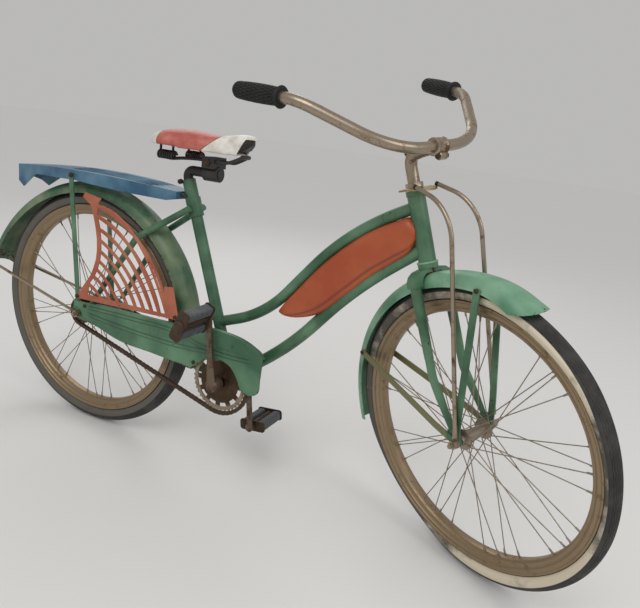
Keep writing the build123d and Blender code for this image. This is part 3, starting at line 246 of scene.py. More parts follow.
def old_plating(name, colour, rust, cover=0.5, gloss=0.32, worn_and_shaded=None):
    """Chrome or cadmium plate gone dull: metal that still mirrors a little, freckled with brown rust."""
    material, tree, place = new_material(name)
    # 25 mm rusty stretches broken into 2 mm freckles
    stretch = node(tree, "TexNoise", {"Scale": per(25), "Detail": 5.0, "Roughness": 0.6}, place)
    freckle = node(tree, "TexNoise", {"Scale": per(2), "Detail": 4.0}, place)
    both = node(tree, "Math", {"operation": "MULTIPLY_ADD", 1: 0.5},
                {0: (freckle, "Fac"), 2: (stretch, "Fac")})
    gone = node(tree, "MapRange", {1: 1.05 - 0.5 * cover, 2: 1.2 - 0.5 * cover}, {0: (both, "Value")})
    shown = node(tree, "Mix", {"data_type": "RGBA", 6: rgba(colour), 7: rgba(rust)}, {0: (gone, "Result")})
    if worn_and_shaded:
        # Painted shade: plate darkened to brown within a radius of a cross axle
        axle, radius, shade_colour = worn_and_shaded
        arm = node(tree, "VectorMath", {"operation": "SUBTRACT", 1: axle}, {0: place["Vector"]})
        flat = node(tree, "VectorMath", {"operation": "MULTIPLY", 1: (1.0, 0.0, 1.0)}, {0: (arm, "Vector")})
        reach = node(tree, "VectorMath", {"operation": "LENGTH"}, {0: (flat, "Vector")})
        within = node(tree, "MapRange", {1: radius + 0.003, 2: radius - 0.003}, {0: (reach, "Value")})
        shown = node(tree, "Mix", {"data_type": "RGBA", 7: rgba(shade_colour)},
                     {0: (within, "Result"), 6: (shown, 2)})
    rough = node(tree, "MapRange", {3: gloss, 4: 0.8}, {0: (gone, "Result")})
    metal = node(tree, "MapRange", {3: 0.9, 4: 0.1}, {0: (gone, "Result")})
    bump = node(tree, "Bump", {"Strength": 0.25, "Distance": 0.0005}, {"Height": (both, "Value")})
    shader = node(tree, "BsdfPrincipled", (),
                  {"Base Color": (shown, 2), "Roughness": (rough, "Result"), "Metallic": (metal, "Result"),
                   "Normal": (bump, "Normal")})
    node(tree, "OutputMaterial", (), {0: (shader, 0)})
    return material


def rubber(name, colour, dust, gloss=0.62, dirt=0.5, wall=None):
    """Perished rubber: matt, greyed by dust in patches, finely cracked, a paler band on a tyre's wall."""
    material, tree, place = new_material(name)
    # 50 mm clouds of dust, 3 mm cracks
    cloud = node(tree, "TexNoise", {"Scale": per(50), "Detail": 6.0, "Roughness": 0.65}, place)
    dusty = node(tree, "MapRange", {1: 0.75 - dirt * 0.6, 2: 1.05 - dirt * 0.6}, {0: (cloud, "Fac")})
    shown = node(tree, "Mix", {"data_type": "RGBA", 6: rgba(colour), 7: rgba(dust)}, {0: (dusty, "Result")})
    if wall:
        # Band of the wall's own colour, soiled where the wear is high
        clean, dirty = wall
        edge = node(tree, "Attribute", {"attribute_name": "white"})
        side = node(tree, "MapRange", {1: -1.0, 2: 1.0}, {0: (edge, "Fac")})
        wear_and_painted_shade = node(tree, "Attribute", {"attribute_name": "wear_and_painted_shade"})
        dirt_and_painted_shade = node(tree, "Math", {"operation": "MULTIPLY_ADD", 1: 0.5},
                     {0: (wear_and_painted_shade, "Fac"), 2: (cloud, "Fac")})
        soiled = node(tree, "MapRange", {1: 0.57, 2: 0.87}, {0: (dirt_and_painted_shade, "Value")})
        band = node(tree, "Mix", {"data_type": "RGBA", 6: rgba(clean), 7: rgba(dirty)},
                    {0: (soiled, "Result")})
        shown = node(tree, "Mix", {"data_type": "RGBA"}, {0: (side, "Result"), 6: (shown, 2), 7: (band, 2)})
    crack = node(tree, "TexNoise", {"Scale": per(3), "Detail": 3.0}, place)
    bump = node(tree, "Bump", {"Strength": 0.2, "Distance": 0.0005}, {"Height": (crack, "Fac")})
    shader = node(tree, "BsdfPrincipled", {"IOR": 1.52, "Roughness": gloss},
                  {"Base Color": (shown, 2), "Normal": (bump, "Normal")})
    node(tree, "OutputMaterial", (), {0: (shader, 0)})
    return material


def two_tone_vinyl(name, red, white):
    """Sewn vinyl: satin red and white panels that meet at a stitched line, grained and soiled."""
    material, tree, place = new_material(name)
    seam = node(tree, "Attribute", {"attribute_name": "white"})
    panel = node(tree, "MapRange", {1: -0.8, 2: 0.8}, {0: (seam, "Fac")})
    # 30 mm clouds of soil
    cloud = node(tree, "TexNoise", {"Scale": per(30), "Detail": 5.0, "Roughness": 0.6}, place)
    soil = node(tree, "MapRange", {1: 0.42, 2: 0.75}, {0: (cloud, "Fac")})
    warm, cold = [node(tree, "Mix", {"data_type": "RGBA", 6: rgba(clean), 7: rgba(linear(soiled))},
                       {0: (soil, "Result")}) for clean, soiled in ((red, "bb7163"), (white, "b3a898"))]
    shown = node(tree, "Mix", {"data_type": "RGBA"}, {0: (panel, "Result"), 6: (warm, 2), 7: (cold, 2)})
    # Stitched line: a dark groove where the panels meet, gone 1.6 mm to each side
    off = node(tree, "Math", {"operation": "ABSOLUTE"}, {0: (seam, "Fac")})
    groove = node(tree, "MapRange", {1: 0.4, 2: 1.6}, {0: (off, "Value")})
    sewn = node(tree, "Mix", {"data_type": "RGBA", 6: rgba(linear("6a4238"))},
                {0: (groove, "Result"), 7: (shown, 2)})
    # Painted shade: near black in the hollow under the nose
    shaded_hollow = node(tree, "Attribute", {"attribute_name": "shaded_hollow"})
    dark = node(tree, "Mix", {"data_type": "RGBA", 7: rgba(linear("1a1615"))},
                {0: (shaded_hollow, "Fac"), 6: (sewn, 2)})
    # 1.6 mm pressed grain
    grain = node(tree, "TexVoronoi", {"Scale": per(1.6)}, place)
    relief = node(tree, "Math", {"operation": "MULTIPLY_ADD", 1: 0.25},
                  {0: (grain, "Distance"), 2: (groove, "Result")})
    bump = node(tree, "Bump", {"Strength": 0.35, "Distance": 0.0006}, {"Height": (relief, "Value")})
    shader = node(tree, "BsdfPrincipled", {"IOR": 1.5, "Roughness": 0.46},
                  {"Base Color": (dark, 2), "Normal": (bump, "Normal")})
    node(tree, "OutputMaterial", (), {0: (shader, 0)})
    return material


TYRE_BLACK, TYRE_DUST = linear("1f1d1c"), linear("45413b")
# How each finish is made, from its name and the scene's colours
FINISHES = {
    "green_enamel": lambda n, c: enamel(n, c.green, c.green_faded, c.rust),
    "pale_green_enamel": lambda n, c: enamel(
        n, linear("4d7f62"), linear("88ae90"), c.rust, chips=0.72, fade=0.46),
    "dark_green_enamel": lambda n, c: enamel(n, linear("335b41"), linear("5f8766"), c.rust, chips=0.7),
    "weathered_enamel": lambda n, c: enamel(n, linear("375c42"), linear("818968"), c.rust, fade=0.52),
    "brace_enamel": lambda n, c: enamel(
        n, c.green, c.green_faded, c.rust,
        aft=(float(front_turn(0, 0, 0) @ STEER_FWD) - 0.02, linear("6d6a45"))),
    "orange_enamel": lambda n, c: enamel(n, c.orange, linear("ae5831"), c.rust, chips=0.76, gloss=0.35),
    "salmon_enamel": lambda n, c: enamel(n, c.salmon, linear("b06b4e"), c.rust, chips=0.7),
    "blue_enamel": lambda n, c: enamel(n, c.blue, linear("5f8598"), c.rust, chips=0.72),
    "black_enamel": lambda n, c: enamel(n, linear("1c1a19"), linear("3a3632"), c.rust, chips=0.66, gloss=0.5),
    "rusty_plating": lambda n, c: old_plating(n, c.plating, c.rust),
    "rim_plating": lambda n, c: old_plating(n, c.rim, linear("6a4f35"), cover=0.45, gloss=0.42),
    "crank_plating": lambda n, c: old_plating(n, linear("76685a"), linear("4a2f1c"), cover=0.7, gloss=0.45),
    # Chainring's plate with painted shade within 62 mm of the crank axle
    "chainring_plating": lambda n, c: old_plating(
        n, linear("9a8c79"), linear("523824"), cover=0.55, gloss=0.42,
        worn_and_shaded=(tuple(bike(BB_X, 0, BB_Z)), 0.062, linear("4a3a2b"))),
    "dull_brass": lambda n, c: old_plating(n, linear("a8966c"), c.rust, cover=0.3, gloss=0.45),
    "spoke_steel": lambda n, c: old_plating(n, linear("9d9182"), linear("6b543e"), gloss=0.5),
    "brown_steel": lambda n, c: old_plating(n, linear("54483b"), linear("3f2a1a"), cover=0.8, gloss=0.5),
    "grip_rubber": lambda n, c: rubber(n, linear("0a0a0a"), linear("201f1e"), dirt=0.35),
    "pedal_rubber": lambda n, c: rubber(n, linear("4b4f52"), linear("6f6c66"), dirt=0.4),
    "tyre_rubber": lambda n, c: rubber(n, TYRE_BLACK, TYRE_DUST),
    "whitewall_rubber": lambda n, c: rubber(
        n, TYRE_BLACK, TYRE_DUST, wall=(linear("c9bda6"), linear("4b463e"))),
    "greywall_rubber": lambda n, c: rubber(
        n, TYRE_BLACK, TYRE_DUST, wall=(linear("57524a"), linear("37332e"))),
    "saddle_vinyl": lambda n, c: two_tone_vinyl(n, c.vinyl, c.white),
    "plain_vinyl": lambda n, c: rubber(n, c.vinyl, linear("cf8074"), gloss=0.5),
}
SLOT_FINISH = {
    "green_paint": "green_enamel", "rusty_steel": "rusty_plating", "tan_rim": "rim_plating",
    "orange_paint": "orange_enamel", "blue_paint": "blue_enamel", "black_steel": "black_enamel",
    "red_vinyl": "plain_vinyl", "black_rubber": "grip_rubber", "tyre": "tyre_rubber",
}
# Nodes whose finish differs from their slot's
NODE_FINISH = {
    "skirt_guard_right": "salmon_enamel", "front_fender_braces": "brace_enamel", "truss_plate": "dull_brass",
    "chain": "brown_steel", "rear_sprocket": "brown_steel", "chainring": "chainring_plating",
    "rear_hub": "spoke_steel", "front_hub": "spoke_steel", "brake_arm": "brown_steel",
    "pedal_right": "brown_steel", "pedal_left": "brown_steel",
}


def finish_named(name):
    """The finish of that name, made once. An unknown name raises an error."""
    if name not in bpy.data.materials:
        FINISHES[name](name, bpy.context.scene.bicycle_colours)
    return bpy.data.materials[name]


class BICYCLE_OT_solids(bpy.types.Operator):
    """Gives every solid of the frame its own finish, or its slot's"""

    bl_idname = "bicycle.solids"
    bl_label = "Finish the solids"

    def execute(self, context):
        slots = {entry["node"]: entry["material_slot"] for entry in frame["record"]["subparts"]}
        for name, solid in NODES.items():
            finish = NODE_FINISH.get(name) or SLOT_FINISH[slots[name]]
            solid.data.materials.clear()
            solid.data.materials.append(finish_named(finish))
        return {"FINISHED"}


def grid_quads(rows, cols, loop_u, loop_v):
    """Corner numbers of the quads of a grid, joined round where a direction loops."""
    i = np.arange(rows if loop_u else rows - 1)[:, None]
    j = np.arange(cols if loop_v else cols - 1)[None, :]
    near, far = i * cols, (i + 1) % rows * cols
    corners = np.broadcast_arrays(near + j, far + j, far + (j + 1) % cols, near + (j + 1) % cols)
    return np.stack(corners, -1).reshape(-1, 4)


def sleeve(points, shade=0, wear_and_painted_shade=0.0):
    """A grid that closes round its section, for weld."""
    return points, False, True, shade, wear_and_painted_shade


def hoop(points, shade=0, wear_and_painted_shade=0.0):
    """A grid that closes round its section and end to end, for weld."""
    return points, True, True, shade, wear_and_painted_shade


def tube(points, shade=0, wear_and_painted_shade=0.0):
    """A sleeve with a pole at each end, at the middle of its first and last ring."""
    ends = [np.broadcast_to(ring.mean(1, keepdims=True), ring.shape) for ring in (points[:1], points[-1:])]
    return sleeve(np.concatenate([ends[0], points, ends[1]]), shade, wear_and_painted_shade)


def mark(mesh, name, values):
    """Gives a mesh a number at each point, for its material to read."""
    mesh.attributes.new(name, "FLOAT", "POINT").data.foreach_set("value", values.ravel().astype(np.float32))


def weld(name, body, finishes, grids, stands_for=(), sharp=38.0):
    """Makes one piece of several grids, each (points, loops along u, loops along v, finish, wear with painted
    shade below 0).
    """
    vertices, quads, shades, wears, count = [], [], [], [], 0
    for points, loop_u, loop_v, shade, wear_and_painted_shade in grids:
        rows, cols = points.shape[:2]
        corners = grid_quads(rows, cols, loop_u, loop_v)
        vertices.append(points.reshape(-1, 3))
        quads.append(corners + count)
        shades.append(np.broadcast_to(shade, (rows, cols)).reshape(-1)[corners[:, 0]])
        wears.append(np.broadcast_to(wear_and_painted_shade, (rows, cols)).reshape(-1))
        count += rows * cols
    vertices, quads = np.concatenate(vertices), np.concatenate(quads)
    mesh = bpy.data.meshes.new(name)
    mesh.vertices.add(len(vertices))
    mesh.vertices.foreach_set("co", vertices.ravel())
    mesh.loops.add(quads.size)
    mesh.loops.foreach_set("vertex_index", quads.ravel())
    mesh.polygons.add(len(quads))
    mesh.polygons.foreach_set("loop_start", np.arange(len(quads)) * 4)
    mesh.polygons.foreach_set("material_index", np.concatenate(shades).astype(np.int32))
    mesh.update(calc_edges=True)
    mark(mesh, "wear_and_painted_shade", np.concatenate(wears))
    for finish in finishes:
        mesh.materials.append(finish_named(finish))
    shell = bmesh.new()
    shell.from_mesh(mesh)
    bmesh.ops.remove_doubles(shell, verts=shell.verts, dist=2e-6)
    # Ends of sheets and sleeves are closed flat
    bmesh.ops.holes_fill(shell, edges=[edge for edge in shell.edges if edge.is_boundary], sides=0)
    bmesh.ops.recalc_face_normals(shell, faces=shell.faces)
    shell.to_mesh(mesh)
    shell.free()
    mesh.shade_smooth()
    mesh.set_sharp_from_angle(angle=np.radians(sharp))
    piece = bpy.data.objects.new(name, mesh)
    bpy.context.scene.collection.objects.link(piece)
    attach(piece, body)
    if stands_for:
        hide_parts(*stands_for)
    return piece


def circle(count):
    """Angles evenly spaced round a full turn."""
    return np.linspace(0, 2 * np.pi, count, endpoint=False)


def power(x, exponent):
    """Power of a number's size, with its sign kept: squares off a circle's sine or cosine."""
    return np.sign(x) * np.abs(x) ** exponent


def ramp(x):
    """Smooth step from 0 to 1 as x goes from 0 to 1."""
    x = np.clip(x, 0, 1)
    return x * x * (3 - 2 * x)


def ridge(x, width):
    """Bell of height 1 at 0 that falls to about a third at its width."""
    return np.exp(-(x / width) ** 2)


def smooth(points, count):
    """Points along a curve through the given ones, each span a cubic with the chords' mean slopes."""
    p = np.asarray(points, float)
    knots = np.concatenate([[0], np.cumsum(np.linalg.norm(np.diff(p, axis=0), axis=1))])
    slope = np.gradient(p, knots, axis=0)
    s = np.linspace(0, knots[-1], count)
    k = np.clip(np.searchsorted(knots, s, side="right") - 1, 0, len(p) - 2)
    h = (knots[k + 1] - knots[k])[:, None]
    t = ((s - knots[k])[:, None]) / h
    return ((2 * t ** 3 - 3 * t ** 2 + 1) * p[k] + (t ** 3 - 2 * t ** 2 + t) * h * slope[k]
            + (3 * t ** 2 - 2 * t ** 3) * p[k + 1] + (t ** 3 - t ** 2) * h * slope[k + 1])


def curve_at(x, table, column):
    """Smooth value of a table's column at x; its first column is x."""
    p = np.asarray(table, float)
    dense = smooth(p[:, [0, column]], 400)
    return np.interp(x, dense[:, 0], dense[:, 1])


def swept(path, section, up):
    """Section (across, along up), in mm, carried along a path, square to it."""
    run = np.gradient(path, axis=0)
    run /= np.linalg.norm(run, axis=1, keepdims=True)
    across = np.cross(run, up)
    across /= np.linalg.norm(across, axis=1, keepdims=True)
    over = np.cross(across, run)
    section = np.asarray(section, float) / 1000
    return path[:, None] + section[None, :, :1] * across[:, None] + section[None, :, 1:] * over[:, None]


def round_section(r, count):
    """Circle for swept."""
    a = circle(count)
    return np.stack([r * np.cos(a), r * np.sin(a)], -1)


def half_round(half, height, sink, foot):
    """Half oval for swept, sunk a little, with a flat foot below it."""
    q = np.linspace(0, np.pi, 9)
    arch = np.stack([half * np.cos(q), height * np.sin(q) - sink], -1)
    return np.concatenate([arch, arch[::-1] * (0.96, 0) - (0, foot)])


def lathe(base, axis, rows, count=24):
    """Profile of (height along the axis, radius), in mm, turned about it."""
    axis = np.asarray(axis, float) / np.linalg.norm(axis)
    side = np.cross(axis, (0.31, 0.87, 0.38))
    side /= np.linalg.norm(side)
    a = circle(count)
    ring = np.cos(a)[:, None] * side + np.sin(a)[:, None] * np.cross(axis, side)
    rows = np.asarray(rows, float) / 1000
    return np.asarray(base) + rows[:, None, :1] * axis + rows[:, None, 1:] * ring[None]


WHEELS = (("rear", "rear_wheel", rear_turn, REAR_R), ("front", "front_wheel", front_turn, FRONT_R))
# Degrees of a tyre's section: foot below level, half of the tread, step of its ribs, wall's rings and band
TYRE_FOOT, TREAD_HALF, RIB_STEP, WALL_RINGS, WALL_BAND = 52, 52, 8, (78, 122), (80, 132)
# Slack front tyre: angle about the axle, loss of height, gain of half width, shift to the left, grime on its
# wall, degrees of the section by which the white spreads outward
SLACK = (
    (-180, 5, -1, 2, 0.8, 0), (-152, 16, -3, 5, 1.0, 0), (-132, 15, -2.5, 5, 0.9, 0), (-112, 2, 1, 2, 0.5, 0),
    (-96, 0, 4, -1, 0.1, 2), (-76, 0, 5.5, -2, 0.0, 4), (-56, 3, 3, -1, 0.0, 4), (-34, 10, -0.5, 0, 0.2, 4),
    (-12, 17, -3, 0, 0.7, 0), (12, 16, -3, 0, 0.6, 2), (28, 12, -1, -1, 0.1, 14), (42, 9, 1, -3, 0.0, 24),
    (58, 5, 0, -2, 0.0, 16), (76, 1, 0, 0, 0.4, 2), (130, 0, 0, 0, 0.8, 0), (180, 5, -1, 2, 0.8, 0),
)


class BICYCLE_OT_tyres(bpy.types.Operator):
    """Balloon tyres: round section on a narrower foot, turned about the axle, with waved ribs in the tread"""

    bl_idname = "bicycle.tyres"
    bl_label = "Tyres"

    def execute(self, context):
        sizes = context.scene.bicycle_sizes
        half, depth, base = mm(sizes.tyre_half), mm(sizes.tread_depth), mm(sizes.rim_r) + 0.3
        # Finer steps over the tread
        q = np.radians(np.concatenate([np.linspace(-TYRE_FOOT, 38, 15), np.linspace(40, 140, 45),
                                       np.linspace(142, 180 + TYRE_FOOT, 15)]))
        width = q * 180 / np.pi - 90
        off = np.abs(width)
        a = circle(540)
        around = np.degrees((a + np.pi) % (2 * np.pi) - np.pi)[:, None]
        loss, gain, shift, dirt_and_painted_shade, spread = [curve_at(around, SLACK, column) for column in range(1, 6)]
        # 90 waves of the ribs in a turn
        groove = 0.5 + 0.5 * np.cos((width[None] + 2.2 * np.sin(a * 90)[:, None]) * np.pi / RIB_STEP)
        drop = depth * ramp((TREAD_HALF - off) / 6) * ramp((groove - 0.55) / 0.3)
        out = 0.7 * sum(ridge(off - place, 2.5) for place in WALL_RINGS) - drop
        for name, body, turn, outer in WHEELS:
            slack = 1.0 if name == "front" else 0.0
            outer = outer - slack * loss
            middle = base + 0.4 * (outer - base)
            high = np.where(np.sin(q) > 0, outer - middle, (middle - base) / np.sin(np.radians(TYRE_FOOT)))
            r = middle + (high + out) * np.sin(q)
            y = (half + slack * gain * (np.sin(q) + 0.8) / 1.8 + out - 0.7) * np.cos(q)
            y = y + slack * shift * ramp((r - base) / 6)
            # Degrees of the section inside the wall's band
            white = np.minimum(off - WALL_BAND[0] + slack * spread, WALL_BAND[1] - off) + 0 * r
            finish = "whitewall_rubber" if name == "front" else "greywall_rubber"
            tyre = weld(name + "_tyre_rubber", body, (finish,),
                        [hoop(turn(r, y, a[:, None]), 0, slack * dirt_and_painted_shade)], [name + "_tyre"], 60)
            if len(tyre.data.vertices) != white.size:
                raise RuntimeError("tyre lost points when welded")
            mark(tyre.data, "white", white)
        return {"FINISHED"}


# Rim's wall: radius inward from the flange and half width, from the flange's lip down to the well
RIM_WALL = (
    (1.0, 16.5), (-0.6, 17.6), (-1.2, 19.2), (0, 20.4), (1.8, 20.6), (3.4, 19.8), (4.4, 18.6), (7, 18.0),
    (9, 18.2), (10.2, 18.8), (11.6, 18.6), (13, 17.0), (16, 14.6), (19, 13.6), (20.6, 13.8), (22, 12.8),
    (24, 10.6), (25.6, 7.5), (26.2, 4.0),
)
# Spoke nipple: along the spoke and radius
NIPPLE = ((-1, 3.4), (0.4, 3.4), (1.2, 2.2), (11, 1.9), (12, 1.4))


class BICYCLE_OT_rims(bpy.types.Operator):
    """Rims: rolled flanges, ridged walls and a drop centre, turned about the axle, and spoke nipples"""

    bl_idname = "bicycle.rims"
    bl_label = "Rims"

    def execute(self, context):
        edge = mm(context.scene.bicycle_sizes.rim_r)
        wall = smooth(RIM_WALL, 48)
        section = np.concatenate([wall, wall[::-1] * (1, -1)])
        step = 2 * np.pi / SPOKES_A_SIDE
        for name, body, turn, _ in WHEELS:
            grids = [hoop(turn(edge - section[None, :, 0], section[None, :, 1], circle(180)[:, None]))]
            for side, y in ((0, -5.0), (1, 5.0)):
                for i in range(SPOKES_A_SIDE):
                    # Spokes cross three others, so each leans 2.7 steps ahead or back
                    b = (i + 0.5 * side) * step + (1 if i % 2 else -1) * 2.7 * step
                    foot, tip = turn(edge - 26.0, y, b), turn(edge - 39.0, y * 1.15, b)
                    grids.append(tube(lathe(foot, tip - foot, NIPPLE, 8), 1))
            weld(name + "_rim_band", body, ("rim_plating", "spoke_steel"), grids, [name + "_rim"])
        return {"FINISHED"}


# Fender sections: radius at the edge and at the crown, half width
REAR_FENDER, FRONT_FENDER, FRONT_MOUTH, BEAK = (318, 348, 34), (315, 343, 30), (301, 343, 42), (301, 331, 42)
# Degrees about the axle: rear fender's foot, start of its flared tail and tail's end, front fender's rear end
REAR_FOOT, TAIL_START, TAIL_END, FRONT_END = -7, 105, 158, 181
# Tail's radius is this much larger, and the beak ends this high over the axle
TAIL_FLARE, BEAK_LEVEL = 120, 257


def fender_loop(edge, crown, half, skin=1.5, count=33):
    """Closed section of a domed sheet: radius, y and wear of the hemmed outside, then of the inside."""
    t = np.linspace(-np.pi / 2, np.pi / 2, count)
    across = power(np.sin(t), 0.85)
    rise = np.abs(np.cos(t)) ** 0.9
    hem = np.sign(t) * 1.5 * ridge(rise, 0.1)
    out_r, out_y = edge + (crown - edge) * rise, half * across + hem
    in_r, in_y = edge + (crown - edge - skin) * rise, (half - skin) * across
    wear_and_painted_shade = np.concatenate([ridge(rise, 0.12), np.zeros(count)])
    return np.concatenate([out_r, in_r[::-1]]), np.concatenate([out_y, in_y[::-1]]), wear_and_painted_shade


class BICYCLE_OT_fenders(bpy.types.Operator):
    """Fenders: domed sheet with rolled hems carried round the wheel, to a flared tail and a front beak"""

    bl_idname = "bicycle.fenders"
    bl_label = "Fenders"

    def execute(self, context):
        r, y, wear_and_painted_shade = fender_loop(*REAR_FENDER)
        lean = np.radians(TAIL_START)
        near = rear_turn(r, y, np.radians(np.linspace(REAR_FOOT, TAIL_START, 90))[:, None])
        far = rear_turn(r + TAIL_FLARE, y, np.radians(np.linspace(TAIL_START, TAIL_END, 50)[1:])[:, None])
        sheet = np.concatenate([near, far - np.array([np.cos(lean), 0, np.sin(lean)]) * TAIL_FLARE / 1000])
        ends = np.zeros(len(sheet))[:, None]
        ends[-5:] = ends[:3] = 0.5
        weld("rear_fender_sheet", "frame", ("weathered_enamel",),
             [sleeve(sheet, 0, np.maximum(wear_and_painted_shade * 0.45, ends))], ["rear_fender"], 60)
        # Front: rows run from the rear end to the beak, whose last row lies on a level cut
        k = np.concatenate([np.linspace(0, 0.86, 90), np.linspace(0.87, 1, 26)])[:, None]
        r0, y0, _ = fender_loop(*FRONT_MOUTH)
        tip = fender_loop(*BEAK)[0]
        r0 = r0 + (tip - r0) * ramp((k - 0.84) / 0.16)
        start, end = np.radians(FRONT_END), np.arcsin(np.clip(BEAK_LEVEL / tip, 0, 1))
        angle = start + (end - start) * k
        # The mouth opens ahead of the fork
        opened = ramp((np.radians(74) - angle) / np.radians(26))
        r1, y1, wear_and_painted_shade = fender_loop(*FRONT_FENDER)
        r, y = r1 + (r0 - r1) * opened, y1 + (y0 - y1) * opened
        lip = ridge(1 - k, 0.012)
        weld("front_fender_sheet", "fork", ("pale_green_enamel",),
             [sleeve(front_turn(r, y, angle), 0, np.maximum(wear_and_painted_shade * 0.35, lip * 0.4))], ["front_fender"], 60)
        return {"FINISHED"}


# Tank's outline from its tail to its round front, ahead and up
TANK_OVER = ((578, 455), (592, 477), (625, 522), (677, 588), (729, 640), (779, 680), (830, 709), (858, 720),
             (874, 704), (880, 681))
TANK_UNDER = ((578, 455), (594, 450), (613, 449), (642, 455), (677, 470), (743, 530), (793, 582), (841, 623),
              (866, 645), (880, 681))


class BICYCLE_OT_tank(bpy.types.Operator):
    """Tank: superellipse section between two outlines, carried from the tail to the round front"""

    bl_idname = "bicycle.tank"
    bl_label = "Tank"

    def execute(self, context):
        over, under = smooth(TANK_OVER, 120), smooth(TANK_UNDER, 120)
        s = np.linspace(0, 1, 120)[:, None]
        q = circle(64)[None]
        up, out = power(np.sin(q), 0.62), power(np.cos(q), 0.62)
        half = mm(context.scene.bicycle_sizes.tank_half)
        for end, length, bluntness in ((s, 0.1, 0.8), (1 - s, 0.09, 0.7)):
            half = half * np.sqrt(np.clip(1 - (1 - np.minimum(end / length, 1)) ** 2, 0, 1)) ** bluntness
        # Pressed line a sixth of the way up, with painted shade along it
        run = ramp(s / 0.12) * ramp((1 - s) / 0.12)
        line, dirt_and_painted_shade = 1.8 * ridge(up + 0.66, 0.07) * run, -0.8 * ridge(up + 0.66, 0.05) * run
        middle, reach = (over + under) / 2, (over - under) / 2
        x, z = middle[:, :1] + reach[:, :1] * up, middle[:, 1:] + reach[:, 1:] * up
        weld("tank_sheet", "frame", ("orange_enamel",),
             [sleeve(bike(x, (half - line) * out, z), 0, np.abs(up) ** 8 * 0.3 + dirt_and_painted_shade)], ["tank"], 50)
        return {"FINISHED"}


# Chain guard's outlines and its two ribs, ahead and up, and where each rib ends
CHAIN_OVER = ((-12, 359), (60, 362), (200, 368), (322, 374), (384, 384), (435, 388), (480, 387), (519, 382),
              (552, 371), (576, 357), (581, 350))
CHAIN_UNDER = ((-12, 345), (8, 341), (22, 322), (34, 315), (80, 303), (144, 287), (262, 281), (351, 277),
               (388, 275), (394, 280), (408, 297), (432, 313), (458, 318), (482, 316), (500, 306), (518, 283),
               (532, 258), (540, 254), (570, 258), (575, 262), (580, 300), (582, 338))
CHAIN_RIBS = ((((20, 350), (200, 356), (318, 357), (400, 342), (448, 335), (570, 337)), 566),
              (((20, 333), (140, 325), (241, 322), (330, 322), (422, 329), (470, 334)), 440))
# Columns of its section: outer face, folded lip, inner face. Then the lip's rise and depth.
FACE, LIP, BACK = 70, 6, 14
LIP_RISE, LIP_DEPTH = (0, 0.8, 1.2, 1.2, 1.0, -0.4, -0.8), (67.4, 67.0, 66.0, 60.0, 55.0, 54.6, 58.0)
# Places out from the middle: inner face, and where the fold begins
BACK_Y, FOLD_Y = 65.5, 65.4
# Hood over the chainring: places ahead and up of its lower edge, and its two ends
HOOD_LOW, HOOD_ENDS = ((372, 410, 448, 562), (366, 350, 345, 346)), (378, 560)


class BICYCLE_OT_chain_guard(bpy.types.Operator):
    """Chain guard: sheet between its outlines with two ribs and a hood pressed out and the top folded in"""

    bl_idname = "bicycle.chain_guard"
    bl_label = "Chain guard"

    def execute(self, context):
        over, under = smooth(CHAIN_OVER, 200), smooth(CHAIN_UNDER, 200)
        v = np.concatenate([np.linspace(0, 1, FACE), np.ones(LIP), np.linspace(0.985, 0, BACK)])[None]
        rise, deep = np.zeros(v.shape[1]), np.full(v.shape[1], BACK_Y)
        deep[:FACE] = GUARD_Y
        rise[FACE - 1:FACE + LIP], deep[FACE - 1:FACE + LIP] = LIP_RISE, LIP_DEPTH
        x = under[:, :1] + (over[:, :1] - under[:, :1]) * v
        z = under[:, 1:] + (over[:, 1:] - under[:, 1:]) * v + rise
        fold = ramp((over[:, :1] - 20) / 60)
        inward = np.where(deep < FOLD_Y, FOLD_Y - (FOLD_Y - deep) * fold, deep)
        press, dirt_and_painted_shade = np.zeros_like(x), np.zeros_like(x)
        for rib, last in CHAIN_RIBS:
            far = np.abs(z - curve_at(x, rib, 1)) / 3.6
            along = ramp((x - 30) / 20) * ramp((last - x) / 30)
            press += 2.6 * np.exp(-far ** 4) * along
            # Painted shade: a dark line along the foot of each rib
            dirt_and_painted_shade -= 0.9 * ridge(far - 1.25, 0.3) * along
        low = np.interp(x, *HOOD_LOW)
        high = np.interp(x, over[:, 0], over[:, 1])
        along = ramp((x - HOOD_ENDS[0]) / 30) * ramp((HOOD_ENDS[1] - x) / 30)
        press += 1.8 * along * ramp((z - low) / 6) * ramp((high - 5 - z) / 6)
        press *= np.arange(v.shape[1]) < FACE - 1
        edge = np.concatenate([ridge(np.linspace(0, 1, FACE), 0.04), np.zeros(LIP + BACK)])
        weld("chain_guard_sheet", "frame", ("dark_green_enamel",),
             [sleeve(bike(x, -inward - press, z), 0, edge * 0.6 + dirt_and_painted_shade)], ["chain_guard"], 50)
        return {"FINISHED"}


# Skirt guard's bars: root, middle and foot, each ahead and up
GUARD_BARS = (
    (62, 624, 193, 566, 304, 384), (64, 598, 181, 535, 280, 383), (68, 568, 168, 510, 256, 383),
    (72, 540, 158, 484, 230, 383), (73, 511, 145, 465, 204, 381), (71, 485, 128, 445, 176, 380),
    (64, 461, 109, 428, 146, 379), (54, 440, 93, 415, 118, 379), (36, 417, 68, 399, 90, 378),
)


